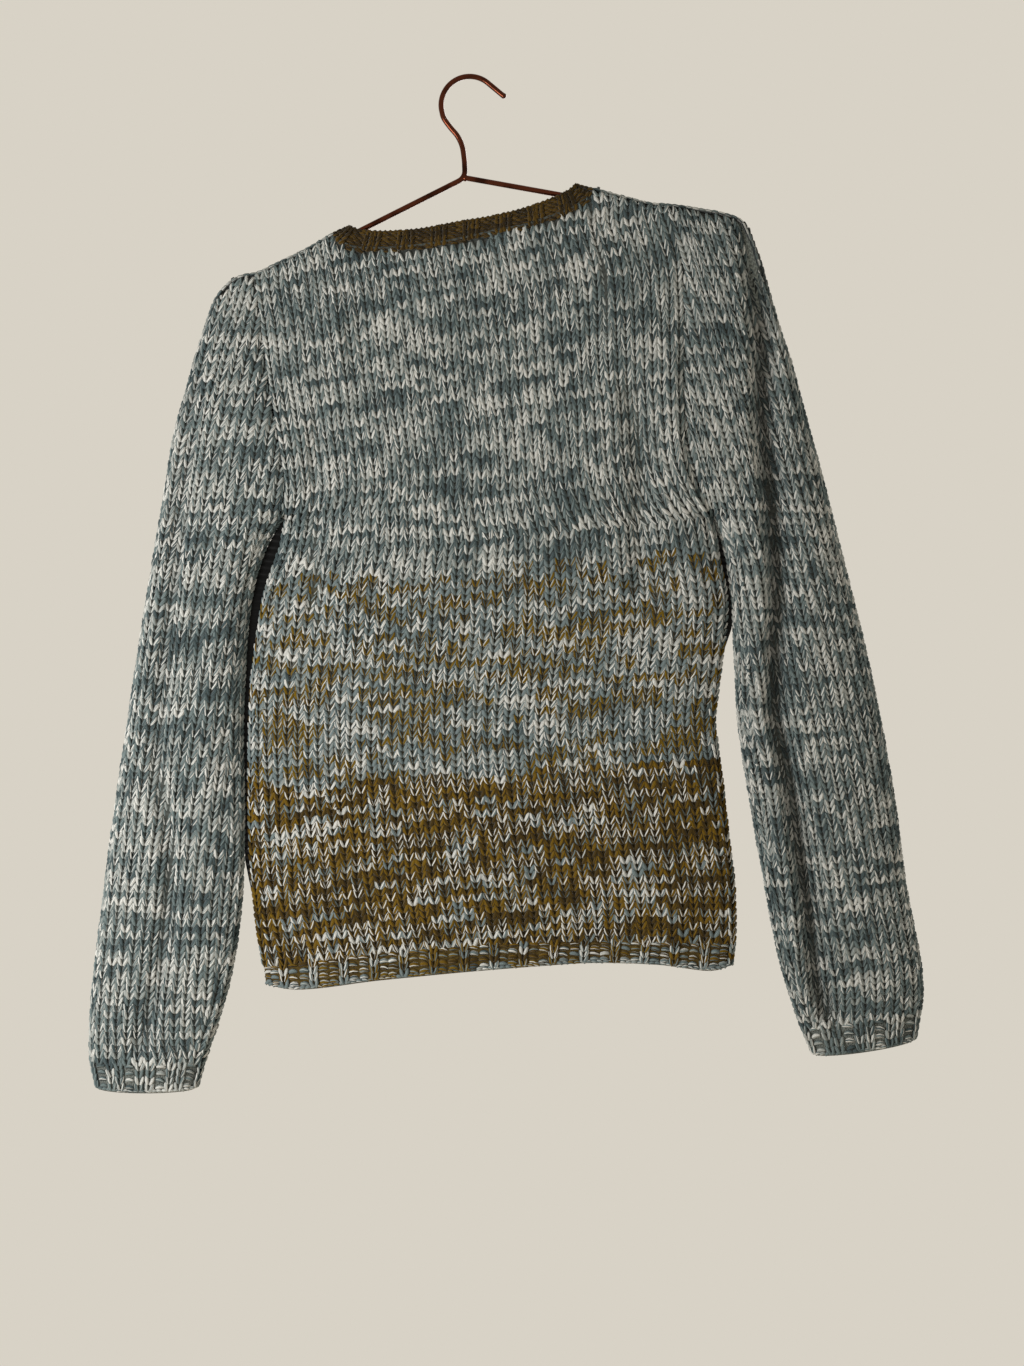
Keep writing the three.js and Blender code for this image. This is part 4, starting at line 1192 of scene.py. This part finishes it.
# The ribbed bands: which wales of a rib are knit, the size of a stitch, and where the first and the last
# course lie on the band. The yarns are given course by course from the free edge.
bands = {
    "hem": {
        "ribs": (0, 0, 1), "pitch": (0.0078, 0.0042), "courses": 4, "wales": 48, "margins": (0.08, 1.06),
        "yarns": ("mixed", "warm"), "groundYarn": "warm", "span": (0, 1), "columns": 61, "isRing": False,
        "slot": "knit_hem", "edgeRow": 0, "edgeLift": 0, "isBrick": False,
        "knit": legShape(0.0066, 0.0031, 0.0029, foot=0.0009, head=0.0026, tilt=0.0002, wander=0.14),
        "purl": bumpShape(0.0086, 0.0031, 0.0027, bend=0.0010, wander=0.20),
        "edge": bumpShape(0.0062, 0.0028, 0.0030, bend=0.0008, wander=0.30),
    },
    "neck": {
        "ribs": (1, 1, 0, 0), "pitch": (0.0056, 0.0038), "courses": 4, "wales": 76, "margins": (0, 0.97),
        "yarns": ("neck",), "groundYarn": "neck", "span": (0, 1), "columns": 121, "isRing": True,
        "slot": "knit_neckband", "edgeRow": -1, "edgeLift": -0.0008, "isBrick": True,
        "knit": legShape(0.0054, 0.0032, 0.0026, foot=0.0011, head=0.0018, tilt=0.0004, wander=0.08),
        "purl": bumpShape(0.0058, 0.0027, 0.0024, bend=0.0006, wander=0.22),
        "edge": bumpShape(0.0056, 0.0026, 0.0038, bend=0.0016, wander=0.12),
    },
}
bands["cuff"] = {
    **bands["hem"], "ribs": (1, 0, 1), "pitch": (0.0078, 0.0046), "wales": 24, "yarns": ("cool",),
    "groundYarn": "cool", "span": (-1, 1), "columns": 49, "isRing": True, "slot": "knit_sleeve",
}
edgeOverlap, edgeSink = 0.72, 0.0014       # how close the loops of a bound edge lie, and how deep
insideRib = (40, 4)                        # wales and courses that the inside of a band shows


# Grows the knit and the purl wales of one band and its edge, and the cloth under them.
def buildBand(kind, place, node, pointAt, sign, seed):
    band, name, groundName = bands[kind], kind + place, kind + "Ground" + place
    courses, wales, edgeRow, slot = band["courses"], band["wales"], band["edgeRow"], band["slot"]
    points = bandLattice(pointAt, *band["span"], wales, courses, band["margins"])
    yarns = [zoneNames.index(band["yarns"][course % len(band["yarns"])]) for course in range(courses)]
    colours = dyeStitches(seed, courses, wales, np.array(yarns)[:, None] + np.zeros((1, wales), dtype=int))
    valid = np.ones(points.shape[:2], dtype=bool)
    places = stitchPlaces(points, valid, sign, seed, band["pitch"], unevenness["bandRelief"])
    places["size"][:, 1] = 1
    isKnit = np.array(band["ribs"])[places["wale"] % len(band["ribs"])] == 1
    knit = sunk(pick(places, isKnit), sink["knit"])
    purl = sunk(pick(places, ~isKnit), sink["purl"])
    if band["isBrick"]:                    # purl stitches show two bumps, the lower between the wales
        along = unit(np.cross(purl["up"], purl["out"]))
        lower = {**purl, "place": purl["place"] - purl["up"] * 0.5 + along * band["pitch"][0] * 0.5}
        purl = joined([purl, lower])
    up = unit(np.gradient(points, axis=0)[edgeRow])
    spots, (place, out, up) = spacedAlong(points[edgeRow], band["edge"]["Bump Length"] * edgeOverlap,
                                          points[edgeRow], outwards(points, sign)[edgeRow], up)
    edge = {"place": place - out * edgeSink + up * band["edgeLift"], "out": out, "up": up,
            "size": np.ones((len(spots), 3)), "course": np.full(len(spots), edgeRow % courses),
            "wale": np.minimum((spots * wales).astype(int), wales - 1)}
    pieces = []
    for part, some, tree in (("knit", knit, knitStitch), ("purl", purl, purlBump), ("edge", edge, purlBump)):
        pieces.append(growStitches(name + part.capitalize(), some, colourOf(colours, some), tree,
                                   band[part], seed))
    position, rise = np.meshgrid(np.linspace(*band["span"], band["columns"]),
                                 np.linspace(0, 1, gridSize["bandRows"] + 1))
    fabric = np.stack([position, rise], axis=-1) * insideRib
    zone = np.full(position.shape, zoneNames.index(band["groundYarn"]))
    shell = makeShell(groundName, pointAt(position, rise), sign, fabric, zone, node, groundBand,
                      band["isRing"])
    return shell, pieces


def buildHem(face, seed):
    def hemAt(across, rise):
        return hemPoint(face, across, 1 - rise)

    return buildBand("hem", face.capitalize(), "hem_band_" + face, hemAt, -faceSigns[face], seed)


def buildCuff(side, seed):
    def cuffAt(around, rise):
        return cuffPoint(side, around, 1 - rise)

    return buildBand("cuff", side.capitalize(), "cuff_" + side, cuffAt, outward[side], seed)


hemBack, hemFront = buildHem("back", 51), buildHem("front", 57)
cuffLeft, cuffRight = buildCuff("left", 61), buildCuff("right", 67)
neckband = buildBand("neck", "", "neckband", neckPoint, 1, 71)
print("bands knitted")


hanger = {
    "apex": (-0.0023, -0.0772), "leftEnd": (-0.180, -0.173), "rightEnd": (0.196, -0.1186), "endBend": 0.006,
    "hookCentre": (0.0013, -0.0202), "hookRadius": 0.0223, "hookTip": (0.0275, -0.013),
    "stem": [(-0.0191, -0.0300), (-0.0142, -0.0372), (-0.0082, -0.0445), (-0.0047, -0.0520),
             (-0.0032, -0.0605), (-0.0023, -0.0700)],
    "hookArc": (52, 190, 30),             # where the hook's arc starts and ends, in degrees, and its steps
    "neckBend": 0.006, "bendSteps": 10, "neckSteps": 8, "sides": 24,
    "wireRadius": 0.0021, "weldRadius": 0.0026, "tipRadius": 0.00225,
    "weldShift": 0.0002, "armShift": 0.0012,
}


def arc(centre, radius, startDegrees, endDegrees, steps):
    angles = np.radians(np.linspace(startDegrees, endDegrees, steps + 1))
    x, z = centre[0] + radius * np.cos(angles), centre[1] + radius * np.sin(angles)
    return list(zip(x.tolist(), z.tolist()))


# One wire: the hook, its stem, the left arm, the bar and the right arm, which is welded to the neck.
def hangerPath():
    apex, radius = np.array(hanger["apex"]), hanger["endBend"]
    ends = {side: np.array(hanger[side + "End"]) for side in ("left", "right")}
    slope, shift = {}, {}
    for side, end in ends.items():
        toEnd = end - apex
        slope[side] = math.degrees(math.atan2(toEnd[1], toEnd[0]))
        shift[side] = math.degrees(math.asin(radius / np.linalg.norm(toEnd)))
    bar = ends["right"] - ends["left"]
    tilt = math.degrees(math.atan2(bar[1], bar[0]))
    leftNormal = slope["left"] - 90 - shift["left"] + 360
    rightNormal = slope["right"] + 90 + shift["right"]
    curl = [hanger["hookTip"]] + arc(hanger["hookCentre"], hanger["hookRadius"], *hanger["hookArc"])
    stem = SmoothLine([curl[-1]] + hanger["stem"], steps=8).points[1:-4]
    stem = [tuple(point) for point in stem]
    leftBend = arc(hanger["leftEnd"], radius, leftNormal, 270 + tilt, hanger["bendSteps"])
    rightBend = arc(hanger["rightEnd"], radius, -90 + tilt, rightNormal, hanger["bendSteps"])
    corner = apex + (0, hanger["weldShift"])
    toStem, toArm = (unit(np.array(point) - corner) for point in (stem[-1], leftBend[0]))
    first, last = corner + toStem * hanger["neckBend"], corner + toArm * hanger["neckBend"]
    shares = np.linspace(0, 1, hanger["neckSteps"] + 1)
    neck = [tuple((1 - t) ** 2 * first + 2 * t * (1 - t) * corner + t**2 * last) for t in shares]
    return curl + stem + neck + leftBend + rightBend + [tuple(apex + (hanger["armShift"], 0))]


def buildHanger():
    path = [(x, 0.0, z) for x, z in hangerPath()]
    carrier = bpy.data.meshes.new("wirePath")
    carrier.from_pydata(path, [(i, i + 1) for i in range(len(path) - 1)], [])
    wire = grow("hangerWire", carrier, sweptWire,
                {"Wire Radius": hanger["wireRadius"], "Sides": hanger["sides"], "Material": copperMaterial})
    weld = bpy.data.meshes.new("hangerWeld")
    work = bmesh.new()
    for point, radius in (("apex", "weldRadius"), ("hookTip", "tipRadius")):
        x, z = hanger[point]
        place = Matrix.Translation((x + hanger["weldShift"], 0, z))
        bmesh.ops.create_uvsphere(work, u_segments=24, v_segments=16, radius=hanger[radius], matrix=place)
    work.to_mesh(weld)
    work.free()
    weld.shade_smooth()
    weld.materials.append(copperMaterial)
    for piece in (wire, putInScene("hangerWeld", weld)):
        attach(piece, "root")
    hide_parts("hanger_frame", "hanger_hook")


buildHanger()
print("hanger bent")


studio = {
    "backdrop": (216, 210, 198), "floorLevel": -1.25, "floorSize": 1.7, "floorRoughness": 0.9,
    "distance": 2.19, "lens": 74.0, "aim": (0.0343, -0.471),
    # each light's place, size and power
    "lights": {"keyLight": ((-0.78, -0.72, -0.55), 0.45, 12.0), "frontLight": ((0.6, 1.6, -0.1), 1.2, 18.0)},
}


def buildStudio():
    world = bpy.data.worlds.new("paleStudio")
    world.use_nodes = True
    world.node_tree.nodes.clear()
    graph = Graph(world.node_tree)
    sky = graph.add("ShaderNodeBackground", {}, {"Color": linear(*studio["backdrop"]), "Strength": 1.0})
    graph.add("ShaderNodeOutputWorld", {}, {"Surface": sky})
    bpy.context.scene.world = world
    bpy.context.scene.view_settings.view_transform = "Standard"

    half, level = studio["floorSize"] / 2, studio["floorLevel"]
    floor = bpy.data.meshes.new("paleFloor")
    corners = [(-half, -half, level), (half, -half, level), (half, half, level), (-half, half, level)]
    floor.from_pydata(corners, [], [(0, 1, 2, 3)])
    material, floorGraph = newMaterial("paleFloor")
    finish(floorGraph, {"Base Color": linear(*studio["backdrop"]), "Roughness": studio["floorRoughness"]})
    floor.materials.append(material)
    putInScene("paleFloor", floor)

    for name, (place, size, power) in studio["lights"].items():
        lamp = bpy.data.lights.new(name, "AREA")
        lamp.size = size
        lamp.energy = power
        lampObject = putInScene(name, lamp)
        lampObject.location = place
        towards = Vector((studio["aim"][0], 0, studio["aim"][1])) - lampObject.location
        lampObject.rotation_euler = towards.to_track_quat("-Z", "Y").to_euler()

    camera = bpy.data.cameras.new("camera")
    camera.lens = studio["lens"]
    cameraObject = putInScene("camera", camera)
    cameraObject.location = (studio["aim"][0], -studio["distance"], studio["aim"][1])
    cameraObject.rotation_euler = (math.pi / 2, 0, 0)
    bpy.context.scene.camera = cameraObject


buildStudio()

print("triangles of the stitches", sum(faceCounts.values()))
